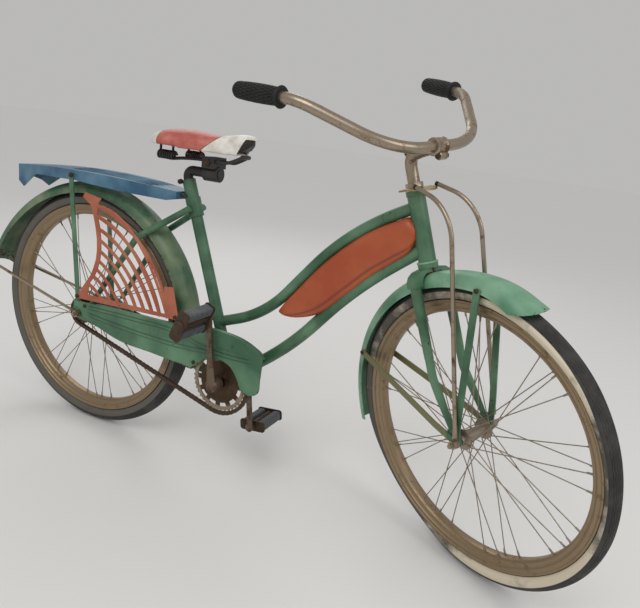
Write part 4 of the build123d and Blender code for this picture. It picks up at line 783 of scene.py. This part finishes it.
class BICYCLE_OT_skirt_ribs(bpy.types.Operator):
    """Skirt guard's bars: half-round rib carried along each bar's arc on the outer face"""

    bl_idname = "bicycle.skirt_ribs"
    bl_label = "Skirt guard ribs"

    def execute(self, context):
        section = half_round(4.1, 1.9, 0.1, 0.6)
        t = np.linspace(0, 1, 30)
        grids = []
        for xr, zr, xm, zm, xf, zf in GUARD_BARS:
            # Arc through three places: quadratic that passes its middle at half way
            x, z = [root * (1 - t) * (1 - 2 * t) + 4 * middle * t * (1 - t) + foot * t * (2 * t - 1)
                    for root, middle, foot in ((xr, xm, xf), (zr, zm, zf))]
            bar = swept(bike(x, -GUARD_Y, z), section, np.array([0.0, -1.0, 0.0]))
            grids.append(tube(bar, 0, 0.2))
        weld("skirt_ribs", "frame", ("salmon_enamel",), grids)
        return {"FINISHED"}


# Grip from its flange to its closed end: along and radius
GRIP = ((0, 11.4), (0, 18), (0.8, 21), (2.5, 22), (4.2, 21), (5.2, 17.6), (7, 16.4), (14, 16.6), (40, 17.4),
        (70, 17.4), (100, 16.4), (114, 15.2), (120, 13), (122.6, 8), (123, 0.2))
# Bricks: where they start, length, count around. Then the bar's length inside a grip, in metres.
BRICK_START, BRICK_LEN, BRICKS, GRIP_ON_BAR = 10, 11, 18, 0.118


class BICYCLE_OT_grips(bpy.types.Operator):
    """Grips: turned sleeve with a flange and a closed end, its skin raised in staggered bricks"""

    bl_idname = "bicycle.grips"
    bl_label = "Grips"

    def execute(self, context):
        profile, around = smooth(GRIP, 240), 144
        h, a = profile[:, :1], circle(around)[None]
        # Each row is set half a brick on from the last
        course = (h - BRICK_START) / BRICK_LEN
        joint = np.abs(course % 1 - 0.5) * 2
        brick = np.abs((a / (2 * np.pi) * BRICKS + 0.5 * (np.floor(course) % 2)) % 1 - 0.5) * 2
        relief = mm(context.scene.bicycle_sizes.grip_relief)
        relief = relief * ramp((0.93 - joint) / 0.14) * ramp((0.86 - brick) / 0.36)
        relief = relief * ramp((h - 9) / 2) * ramp((118 - h) / 3)
        grids = []
        for side in (1, -1):
            end, knee = steered(*(BAR_END * (1, side, 1))), steered(*(BAR_KNEE * (1, side, 1)))
            back = (end - knee) / np.linalg.norm(end - knee)
            front = end - back * GRIP_ON_BAR
            ring = lathe(front, back, profile, around)
            out = ring - (front + h[:, :, None] / 1000 * back)
            out /= np.linalg.norm(out, axis=-1, keepdims=True)
            grids.append(sleeve(ring + out * (relief - 0.9)[..., None] / 1000))
        weld("grip_sleeves", "fork", ("grip_rubber",), grids, ["grips"], 60)
        return {"FINISHED"}


# Pedal's block: length, half thickness each way, distance from the pin. Its end cap: along and radius.
BLOCK_LEN, BLOCK_HALF, BLOCK_OFF = 89.4, (11.0, 12.5), 24.0
PEDAL_CAP = ((0, 14), (1.2, 14.4), (2.4, 14), (3, 12.4), (4.8, 10), (6.4, 6), (7, 0.1))


class BICYCLE_OT_pedals(bpy.types.Operator):
    """Pedal rubbers: rounded block carried across the pedal, necked in at its grooves, and a domed end cap"""

    bl_idname = "bicycle.pedals"
    bl_label = "Pedals"

    def execute(self, context):
        q = circle(40)
        wide, thick = power(np.cos(q), 0.4) * BLOCK_HALF[0], power(np.sin(q), 0.4) * BLOCK_HALF[1]
        y = np.linspace(0, BLOCK_LEN, 150)[:, None]
        # Nine ridges with a groove between each two, none at the ends
        neck = ramp((np.abs((y / 9.93) % 1 - 0.5) * 2 - 0.72) / 0.16) * (np.abs(y - BLOCK_LEN / 2) < 42)
        size = (1 - 0.11 * neck) * (ramp(np.minimum(y, BLOCK_LEN - y) / 1.6) * 0.06 + 0.94)
        for side, name, tilt in ((1, "left", 8.0), (-1, "right", 68.0)):
            turn = np.radians(tilt)
            px, pz = BB_X - side * ARM_X, BB_Z - side * ARM_Z
            grids = []
            for off in (BLOCK_OFF, -BLOCK_OFF):
                u, w = off + size * wide, size * thick
                x, z = u * np.cos(turn) - w * np.sin(turn), u * np.sin(turn) + w * np.cos(turn)
                place = np.stack([x, side * (PEDAL_IN + 3.3 + y) + 0 * x, z], -1) / 1000
                grids.append(tube(bike(px, 0, pz) + place))
            grids.append(tube(lathe(bike(px, side * (PEDAL_IN + 95.8), pz), (0, side, 0), PEDAL_CAP, 28), 1))
            weld("pedal_rubbers_" + name, "pedal_" + name, ("pedal_rubber", "brown_steel"),
                 grids, ["pedal_blocks_" + name], 45)
        return {"FINISHED"}


# Saddle rail: ahead, left, up
RAIL = ((448, 12, 790), (428, 14, 780), (410, 17, 773), (380, 17, 772), (320, 17, 772), (292, 28, 770),
        (270, 44, 767), (250, 52, 770), (240, 52, 772))
# Spring: left, front end, length, height and radius of the coil, its turns
SPRING_Y, SPRING_X, SPRING_LEN, SPRING_Z, SPRING_R, SPRING_TURNS = 52, 288, 46, 775, 8.5, 7.0


class BICYCLE_OT_springs(bpy.types.Operator):
    """Saddle frame: round wire carried along each rail, a helix about its end, posts and a nose bar"""

    bl_idname = "bicycle.springs"
    bl_label = "Saddle rails and springs"

    def execute(self, context):
        t = np.linspace(0, 1, 240)
        a = 2 * np.pi * SPRING_TURNS * t
        up = np.array([0.0, 0.0, 1.0])
        grids = [tube(lathe(bike(448, -16, 790), (0, 1, 0), ((0, 4.6), (1, 5), (31, 5), (32, 4.6)), 16))]
        for side in (1, -1):
            rail = smooth(np.array(RAIL) * (1, side, 1), 90)
            coil = bike(SPRING_X - SPRING_LEN * t, side * SPRING_Y + SPRING_R * np.cos(a),
                        SPRING_Z + SPRING_R * np.sin(a))
            for path, wire, count in ((bike(*rail.T), 3.9, 12), (coil, 2.5, 8)):
                grids.append(tube(swept(path, round_section(wire, count), up)))
            for ahead in (246, 282):
                grids.append(tube(lathe(bike(ahead, side * SPRING_Y, 777), up, ((0, 3), (21, 3)), 10)))
        weld("saddle_springs", "frame", ("black_enamel",), grids, ["saddle_frame"])
        return {"FINISHED"}


class BICYCLE_OT_crank(bpy.types.Operator):
    """Crank: rounded bar, narrower towards the pedal, carried along each arm, with a turned eye and root"""

    bl_idname = "bicycle.crank"
    bl_label = "Crank"

    def execute(self, context):
        t = np.linspace(0, 1, 50)[:, None]
        q = circle(24)[None]
        # Half width: broad at the root, waisted at half way, wider again at the eye
        half = 12.5 - 5.0 * ramp(t / 0.5) + 1.5 * ramp((t - 0.75) / 0.25)
        far, off, thick = CRANK_LEN * t, half * power(np.cos(q), 0.75), 6.2 * power(np.sin(q), 0.75)
        grids = []
        for side, root_in, root_r in ((1, 44.0, 13.0), (-1, 57.0, 17.0)):
            ax, az = -side * ARM_X / CRANK_LEN, -side * ARM_Z / CRANK_LEN
            arm = bike(BB_X + ax * far - az * off, side * (CRANK_Y + thick), BB_Z + az * far + ax * off)
            pin = bike(BB_X + ax * CRANK_LEN, side * (CRANK_Y - 6.5), BB_Z + az * CRANK_LEN)
            eye = lathe(pin, (0, side, 0), ((0, 10.6), (1, 11.6), (12, 11.6), (13, 10.6)), 28)
            deep = CRANK_Y + 5 - root_in
            taper = ((0, root_r), (deep - 5, root_r), (deep - 1, root_r - 2.5), (deep, root_r - 6))
            root = lathe(bike(BB_X, side * root_in, BB_Z), (0, side, 0), taper, 28)
            grids += [tube(piece) for piece in (arm, eye, root)]
        weld("crank_arms", "crank", ("crank_plating",), grids, ["crank"])
        return {"FINISHED"}


# Stem's radius, and where its clamp and pinch lug start on the fork: ahead, left, up
STEM_R, CLAMP_AT, LUG_AT = 12.6, (78, -15, 582), (84, -10, 563)
# Stem's bend: ahead, left, up. Clamp and pinch lug: along and radius.
STEM = ((0, 0, 526.6), (0, 0, 545), (0.4, 0, 562), (5, 0, 574), (16, 0, 580), (34, 0, 582), (64, 0, 582))
CLAMP = ((0, 11.2), (0, 15.5), (1.2, 17.4), (3.4, 17.8), (5, 16.6), (25, 16.6), (26.6, 17.8), (28.8, 17.4),
         (30, 15.5), (30, 11.2))
LUG = ((0, 6.5), (1.5, 8), (18.5, 8), (20, 6.5))


class BICYCLE_OT_stem(bpy.types.Operator):
    """Stem: round bar carried up and forward, a beaded ring turned about the handlebar, a pinch lug"""

    bl_idname = "bicycle.stem"
    bl_label = "Stem"

    def execute(self, context):
        neck = swept(steered(*smooth(STEM, 60).T), round_section(STEM_R, 24), STEER_LEFT)
        ring = lathe(steered(*CLAMP_AT), STEER_LEFT, CLAMP, 36)
        lug = lathe(steered(*LUG_AT), STEER_LEFT, LUG, 20)
        grids = [tube(neck), hoop(ring), tube(lug)]
        weld("stem_forging", "fork", ("rusty_plating",), grids, ["stem"])
        return {"FINISHED"}


# Truss plate: reach ahead of and behind the steering axis, half width, height of its underside
PLATE_AHEAD, PLATE_BEHIND, PLATE_HALF, PLATE_UP = 45, 21, 39, 512


class BICYCLE_OT_truss_plate(bpy.types.Operator):
    """Truss plate: sheet with rounded edges, outline a half oval ahead and a shorter one behind, drooping"""

    bl_idname = "bicycle.truss_plate"
    bl_label = "Truss plate"

    def execute(self, context):
        q = circle(72)[None]
        # Rows from the top's middle round the edge to the bottom's middle: share of the outline, height
        share = np.array((0.001, 0.5, 0.95, 0.985, 1.0, 1.0, 0.985, 0.95, 0.5, 0.001))[:, None]
        height = np.array((4, 4, 4, 3.8, 3.2, 0.8, 0.2, 0, 0, 0))[:, None]
        ahead = power(np.cos(q), 0.7)
        f = share * np.where(ahead > 0, PLATE_AHEAD, PLATE_BEHIND) * ahead
        droop = 0.25 * np.maximum(f - 10, 0)
        sheet = steered(f, share * PLATE_HALF * np.sin(q), PLATE_UP + height - droop)
        weld("truss_plate_sheet", "fork", ("dull_brass",), [tube(sheet)], ["truss_plate"])
        return {"FINISHED"}


# Headset ring: height of its foot on the steering axis, along and radius of its bead
RING_UP, BEAD = 361, ((0, 18.0), (0, 21.2), (1, 22.2), (3, 22.2), (4, 21.2), (4, 18.0))


class BICYCLE_OT_headset_ring(bpy.types.Operator):
    """Headset ring: rounded bead turned about the steering axis where the lower cup meets the head tube"""

    bl_idname = "bicycle.headset_ring"
    bl_label = "Headset ring"

    def execute(self, context):
        ring = lathe(steered(0, 0, RING_UP), STEER_UP, BEAD, 40)
        weld("headset_ring", "frame", ("pale_green_enamel",), [hoop(ring)])
        return {"FINISHED"}


# Rack's top along its middle, ahead and up, and its ribs' places to the left and ends
RACK_TOP = ((-262.0, 688.0), (-130.0, 698.6), (0.0, 702.0), (140.0, 699.4), (283.0, 690.0))
RACK_RIBS, RACK_RIB_ENDS = (27, 9, -9, -27), (-60, 228)


class BICYCLE_OT_rack_ribs(bpy.types.Operator):
    """Rack's ribs: half-round bead carried along the top's arc beside each slot"""

    bl_idname = "bicycle.rack_ribs"
    bl_label = "Rack ribs"

    def execute(self, context):
        x = np.linspace(*RACK_RIB_ENDS, 60)
        z = curve_at(x, RACK_TOP, 1)
        beads = [swept(bike(x, left, z), half_round(2.4, 2.0, 0.4, 1.2), np.array([0.0, 0.0, 1.0]))
                 for left in RACK_RIBS]
        weld("rack_ribs", "frame", ("blue_enamel",), [tube(bead, 0, 0.2) for bead in beads])
        return {"FINISHED"}


# Bolt heads and nuts: body, place in the frame's or fork's own directions, axis there, half across, height
FASTENERS = (
    ("frame", (-30, -63.7, 688), (0, -1, 0), 5.5, 4.0), ("frame", (-30, 63.7, 688), (0, 1, 0), 5.5, 4.0),
    ("frame", (1, -67.6, 374), (0, -1, 0), 5.5, 4.0), ("frame", (326, -67.6, 392), (0, -1, 0), 4.5, 3.0),
    ("frame", (28, -67.6, 352), (0, -1, 0), 4.5, 3.0), ("frame", (390, -67.6, 292), (0, -1, 0), 4.5, 3.0),
    ("frame", (362, -25.0, 768), (0, -1, 0), 7.0, 6.0), ("frame", (362, 25.0, 768), (0, 1, 0), 7.0, 6.0),
    ("frame", (282, -17.0, 714), (0, -1, 0), 5.5, 7.0), ("frame", (282, 17.0, 714), (0, 1, 0), 5.5, 7.0),
    ("fork", (33, 30.9, 515), (-0.85, -0.08, 0.52), 4.5, 4.0),
    ("fork", (33, -30.9, 515), (-0.85, 0.08, 0.52), 4.5, 4.0),
    ("fork", (84, 9.5, 563), (0, 1, 0), 5.5, 5.0), ("fork", (84, -9.5, 563), (0, -1, 0), 5.5, 5.0),
    ("fork", (-1, 0, 584.5), (-0.5, 0, 0.86), 7.0, 6.0), ("fork", (0, 0, 340), (0, 0, 1), 13.0, 14.0),
    ("fork", (143, 34.3, 305), (0, 1, 0), 4.5, 3.0), ("fork", (143, -34.3, 305), (0, -1, 0), 4.5, 3.0),
    ("fork", (-224, 34.3, 169), (0, 1, 0), 4.5, 3.0), ("fork", (-224, -34.3, 169), (0, -1, 0), 4.5, 3.0),
)


class BICYCLE_OT_fasteners(bpy.types.Operator):
    """Bolt heads and nuts: chamfered hexagon turned about its axis, with a rounded end standing out of it"""

    bl_idname = "bicycle.fasteners"
    bl_label = "Bolts and nuts"

    def execute(self, context):
        for body, at in (("frame", bike), ("fork", steered)):
            grids = []
            for place, axis, half, high in [row[1:] for row in FASTENERS if row[0] == body]:
                base = at(*place)
                out = at(*(np.array(place) + np.array(axis) * 10)) - base
                head = ((-2, half * 1.15), (high * 0.75, half * 1.15), (high, half))
                end = ((high * 0.8, half * 0.55), (high * 1.3, half * 0.5), (high * 1.45, half * 0.3))
                grids += [tube(lathe(base, out, head, 6)), tube(lathe(base, out, end, 10))]
            weld("bolts_" + body, body, ("brown_steel",), grids, (), 25)
        return {"FINISHED"}


# Saddle: place ahead, half width, top, side's lower edge
SADDLE = (
    (226, 34, 808, 803), (231, 62, 819, 799), (244, 90, 830, 797), (262, 98, 836, 796), (284, 99, 838, 796),
    (308, 86, 838, 794), (330, 67, 836.5, 793), (352, 51, 834, 791), (376, 41, 833, 790), (405, 33, 837, 789),
    (430, 28, 841, 790), (446, 26, 843, 793), (458, 24, 843, 797), (468, 20, 841, 803), (477, 13, 835, 811),
    (481, 5, 829, 818),
)
# Pad: how much smaller it starts, height below which it is held; in metres, remeshing step, greatest swell
PAD_SHRINK, PAD_HELD, PAD_STEP, PAD_SWELL = 2.5, 801, 0.0055, 0.007
# Moments of the cloth simulation
SWELL_MOMENTS = 20
# Seams of the white panels: nose's place at a height, rear corner's ahead, left and radius
NOSE_SEAM, CORNER_SEAM = (392, 832), (234, 86, 36)
# Hollow under the nose: its rear edge's place ahead and up, height where it ends, depth in metres
HOLLOW_REAR, HOLLOW_TOP, HOLLOW_IN = (440, 797), 831, (0.011, 0.0, -0.003)


class BICYCLE_OT_saddle(bpy.types.Operator):
    """Saddle: domed section carried from the rear to the nose, swelled as cloth, in two colours"""

    bl_idname = "bicycle.saddle"
    bl_label = "Saddle"

    def execute(self, context):
        rear, nose = SADDLE[0][0], SADDLE[-1][0]
        x = rear + (nose - rear) * (0.5 - 0.5 * np.cos(np.linspace(0, np.pi, 90)))[:, None]
        half, top, edge = [curve_at(x, SADDLE, column) for column in (1, 2, 3)]
        q = np.linspace(0, np.pi, 40)[None]
        across, rise = power(np.cos(q), 0.72), np.abs(np.sin(q)) ** 0.62
        half, top = half - PAD_SHRINK, top - PAD_SHRINK
        y = np.concatenate([half * across, (half - 3) * across[:, ::-1] * 0.97], -1)
        z = np.concatenate([edge + (top - edge) * rise, edge + 4 * rise[:, ::-1] * np.ones_like(x)], -1)
        pad = weld("saddle_cover", "frame", ("saddle_vinyl",), [tube(bike(x, y, z))],
                   ["saddle_top"], 180)
        mesh = pad.data
        swell(pad)
        points = np.empty(len(mesh.vertices) * 3)
        mesh.vertices.foreach_get("co", points)
        points = points.reshape(-1, 3)
        ahead, left, up = unbike(points)
        # Distances in mm to the seams: nose ahead of a leaning line, a small patch on each rear corner
        ahead_of_seam = ahead - (NOSE_SEAM[0] - (NOSE_SEAM[1] - up))
        in_corner = CORNER_SEAM[2] - np.hypot(ahead - CORNER_SEAM[0], np.abs(left) - CORNER_SEAM[1])
        mark(mesh, "white", np.maximum(ahead_of_seam, in_corner))
        # The hollow's rear edge leans forward, and the cover ends there short of the tip
        past = ahead - HOLLOW_REAR[0] - 0.5 * (up - HOLLOW_REAR[1])
        shaded_hollow = ramp(past / 4) * ramp((HOLLOW_TOP - up) / 4)
        # Painted shade: the cover's material darkens the hollow to near black
        mark(mesh, "shaded_hollow", shaded_hollow)
        points = points - shaded_hollow[:, None] * HOLLOW_IN
        mesh.vertices.foreach_set("co", points.ravel())
        mesh.update()
        return {"FINISHED"}


def swell(pad):
    """Swells a closed pad as cloth under pressure, no point further than PAD_SWELL, into its mesh."""
    scene = bpy.context.scene
    remesh = pad.modifiers.new("remesh", "REMESH")
    remesh.mode, remesh.voxel_size = "VOXEL", PAD_STEP
    graph = bpy.context.evaluated_depsgraph_get()
    even = bpy.data.meshes.new_from_object(pad.evaluated_get(graph))
    pad.modifiers.clear()
    helper = bpy.data.objects.new("swell", even)
    scene.collection.objects.link(helper)
    before = np.empty(len(even.vertices) * 3)
    even.vertices.foreach_get("co", before)
    cloth = helper.modifiers.new("cloth", "CLOTH").settings
    cloth.use_pressure, cloth.uniform_pressure_force = True, 4.0
    cloth.quality, cloth.mass = 6, 0.3
    cloth.tension_stiffness = cloth.compression_stiffness = 15.0
    cloth.effector_weights.gravity = 0.0
    # Low edge stays where the pan holds it
    held = helper.vertex_groups.new(name="held")
    up = unbike(before.reshape(-1, 3))[2]
    held.add(np.nonzero(up < PAD_HELD)[0].tolist(), 1.0, "REPLACE")
    cloth.vertex_group_mass = "held"
    for moment in range(SWELL_MOMENTS):
        scene.frame_set(moment + 1)
    swelled = helper.evaluated_get(bpy.context.evaluated_depsgraph_get())
    after = np.empty_like(before)
    swelled.to_mesh().vertices.foreach_get("co", after)
    swelled.to_mesh_clear()
    step = (after - before).reshape(-1, 3)
    length = np.linalg.norm(step, axis=1, keepdims=True)
    after = before.reshape(-1, 3) + step * np.minimum(1, PAD_SWELL / np.maximum(length, 1e-9))
    scene.frame_set(1)
    bpy.data.objects.remove(helper)
    even.vertices.foreach_set("co", after.ravel())
    finer = bmesh.new()
    finer.from_mesh(even)
    for _ in range(4):
        bmesh.ops.smooth_vert(finer, verts=finer.verts, factor=0.5,
                              use_axis_x=True, use_axis_y=True, use_axis_z=True)
    bmesh.ops.subdivide_edges(finer, edges=finer.edges, cuts=1, use_grid_fill=True, smooth=1.0)
    bmesh.ops.recalc_face_normals(finer, faces=finer.faces)
    pad.data.clear_geometry()
    finer.to_mesh(pad.data)
    finer.free()
    pad.data.shade_smooth()


# Lamps: name, place, aim, width, watts
LAMPS = (
    ("key", (0.3, -2.4, 2.0), (0.1, 0, -0.4), 1.8, 30.0),
    ("side", (2.6, -0.6, 1.2), (0.4, 0, -0.4), 1.4, 13.0),
    ("rear", (-1.4, 2.2, 1.6), (0, 0, -0.4), 1.6, 15.0),
)
# Floor's half width and drop below the part, in metres; colours of the sky's light and of the backdrop
FLOOR_HALF, FLOOR_GAP, SKY, BACKDROP = 30, 0.0005, (0.86, 0.87, 0.89), (0.612, 0.608, 0.598)


class BICYCLE_OT_stage(bpy.types.Operator):
    """Lays the pale floor, hangs the soft lamps and stands the camera at the photograph's angle"""

    bl_idname = "bicycle.stage"
    bl_label = "Stage"

    def execute(self, context):
        scene = context.scene
        floor = bpy.data.meshes.new("floor")
        corners = [(x * FLOOR_HALF, y * FLOOR_HALF, CAD_LOW.z - FLOOR_GAP)
                   for x, y in ((-1, -1), (1, -1), (1, 1), (-1, 1))]
        floor.from_pydata(corners, [], [(0, 1, 2, 3)])
        ground = bpy.data.objects.new("floor", floor)
        scene.collection.objects.link(ground)
        # Matt studio paper: soft, no gloss
        material, tree, _ = new_material("studio_paper")
        paper = node(tree, "BsdfPrincipled",
                     {"Base Color": rgba(linear("dad8d4")), "Roughness": 0.9, "Specular IOR Level": 0.1})
        node(tree, "OutputMaterial", (), {0: (paper, 0)})
        floor.materials.append(material)

        world = bpy.data.worlds.new("studio")
        world.use_nodes = True
        scene.world = world
        tree = world.node_tree
        tree.nodes.clear()
        # The backdrop that the camera sees shows in metal too
        path = node(tree, "LightPath")
        looks = node(tree, "Math", {"operation": "MAXIMUM"},
                     {0: (path, "Is Camera Ray"), 1: (path, "Is Glossy Ray")})
        sight = node(tree, "Math", {"operation": "MAXIMUM"},
                     {0: (looks, "Value"), 1: (path, "Is Transmission Ray")})
        seen = node(tree, "Mix", {"data_type": "RGBA", 6: rgba(SKY), 7: rgba(BACKDROP)},
                    {0: (sight, "Value")})
        light = node(tree, "Background", {"Strength": 0.8}, {"Color": (seen, 2)})
        node(tree, "OutputWorld", (), {"Surface": (light, "Background")})

        for name, place, aim, width, watts in LAMPS:
            lamp = bpy.data.lights.new(name, "AREA")
            lamp.size, lamp.energy = width, watts
            held = bpy.data.objects.new(name, lamp)
            held.location = place
            held.rotation_euler = (Vector(aim) - Vector(place)).to_track_quat("-Z", "Y").to_euler()
            scene.collection.objects.link(held)

        camera = bpy.data.cameras.new("camera")
        camera.sensor_width, camera.lens = SENSOR, FOCAL_PX * SENSOR / PHOTO_WIDTH
        camera.clip_start, camera.clip_end = 0.05, 200.0
        held = bpy.data.objects.new("camera", camera)
        # Turned in the bicycle frame's own directions, then by LEVEL with it
        yaw, pitch, roll = CAMERA_TURN
        fwd = np.array([np.cos(yaw) * np.cos(pitch), np.sin(yaw) * np.cos(pitch), -np.sin(pitch)])
        right = np.array([np.sin(yaw), -np.cos(yaw), 0.0])
        up = np.cross(right, fwd)
        across, over = np.cos(roll) * right + np.sin(roll) * up, np.cos(roll) * up - np.sin(roll) * right
        turn = np.stack([across, over, -fwd], 1)
        lift = np.array([[np.cos(LEVEL), 0, -np.sin(LEVEL)], [0, 1, 0], [np.sin(LEVEL), 0, np.cos(LEVEL)]])
        stand = np.eye(4)
        stand[:3, :3], stand[:3, 3] = lift @ turn, bike(*CAMERA_AT)
        held.matrix_world = Matrix(stand.tolist())
        scene.collection.objects.link(held)
        scene.camera = held
        scene.view_settings.view_transform = "Standard"
        return {"FINISHED"}


class BICYCLE_PT_sidebar(bpy.types.Panel):
    """Sizes, colours and pieces of the bicycle"""

    bl_idname = "BICYCLE_PT_sidebar"
    bl_label = "Bicycle"
    bl_space_type = "VIEW_3D"
    bl_region_type = "UI"
    bl_category = "Bicycle"

    def draw(self, context):
        for group in (context.scene.bicycle_sizes, context.scene.bicycle_colours):
            for name in group.__annotations__:
                self.layout.prop(group, name)
        for piece in PIECES:
            self.layout.operator(piece.bl_idname)


PIECES = (
    BICYCLE_OT_solids, BICYCLE_OT_tyres, BICYCLE_OT_rims, BICYCLE_OT_fenders, BICYCLE_OT_tank,
    BICYCLE_OT_chain_guard, BICYCLE_OT_skirt_ribs, BICYCLE_OT_stem, BICYCLE_OT_truss_plate,
    BICYCLE_OT_headset_ring, BICYCLE_OT_rack_ribs, BICYCLE_OT_grips, BICYCLE_OT_crank, BICYCLE_OT_pedals,
    BICYCLE_OT_springs, BICYCLE_OT_fasteners, BICYCLE_OT_saddle, BICYCLE_OT_stage,
)
CLASSES = (BicycleSizes, BicycleColours, *PIECES, BICYCLE_PT_sidebar)


def register():
    for made in CLASSES:
        bpy.utils.register_class(made)
    bpy.types.Scene.bicycle_sizes = PointerProperty(type=BicycleSizes)
    bpy.types.Scene.bicycle_colours = PointerProperty(type=BicycleColours)


def unregister():
    del bpy.types.Scene.bicycle_colours
    del bpy.types.Scene.bicycle_sizes
    for made in reversed(CLASSES):
        bpy.utils.unregister_class(made)


def main():
    register()
    for piece in PIECES:
        area, name = piece.bl_idname.split(".")
        getattr(getattr(bpy.ops, area), name)()
    bpy.context.view_layer.update()


if __name__ == "__main__":
    main()
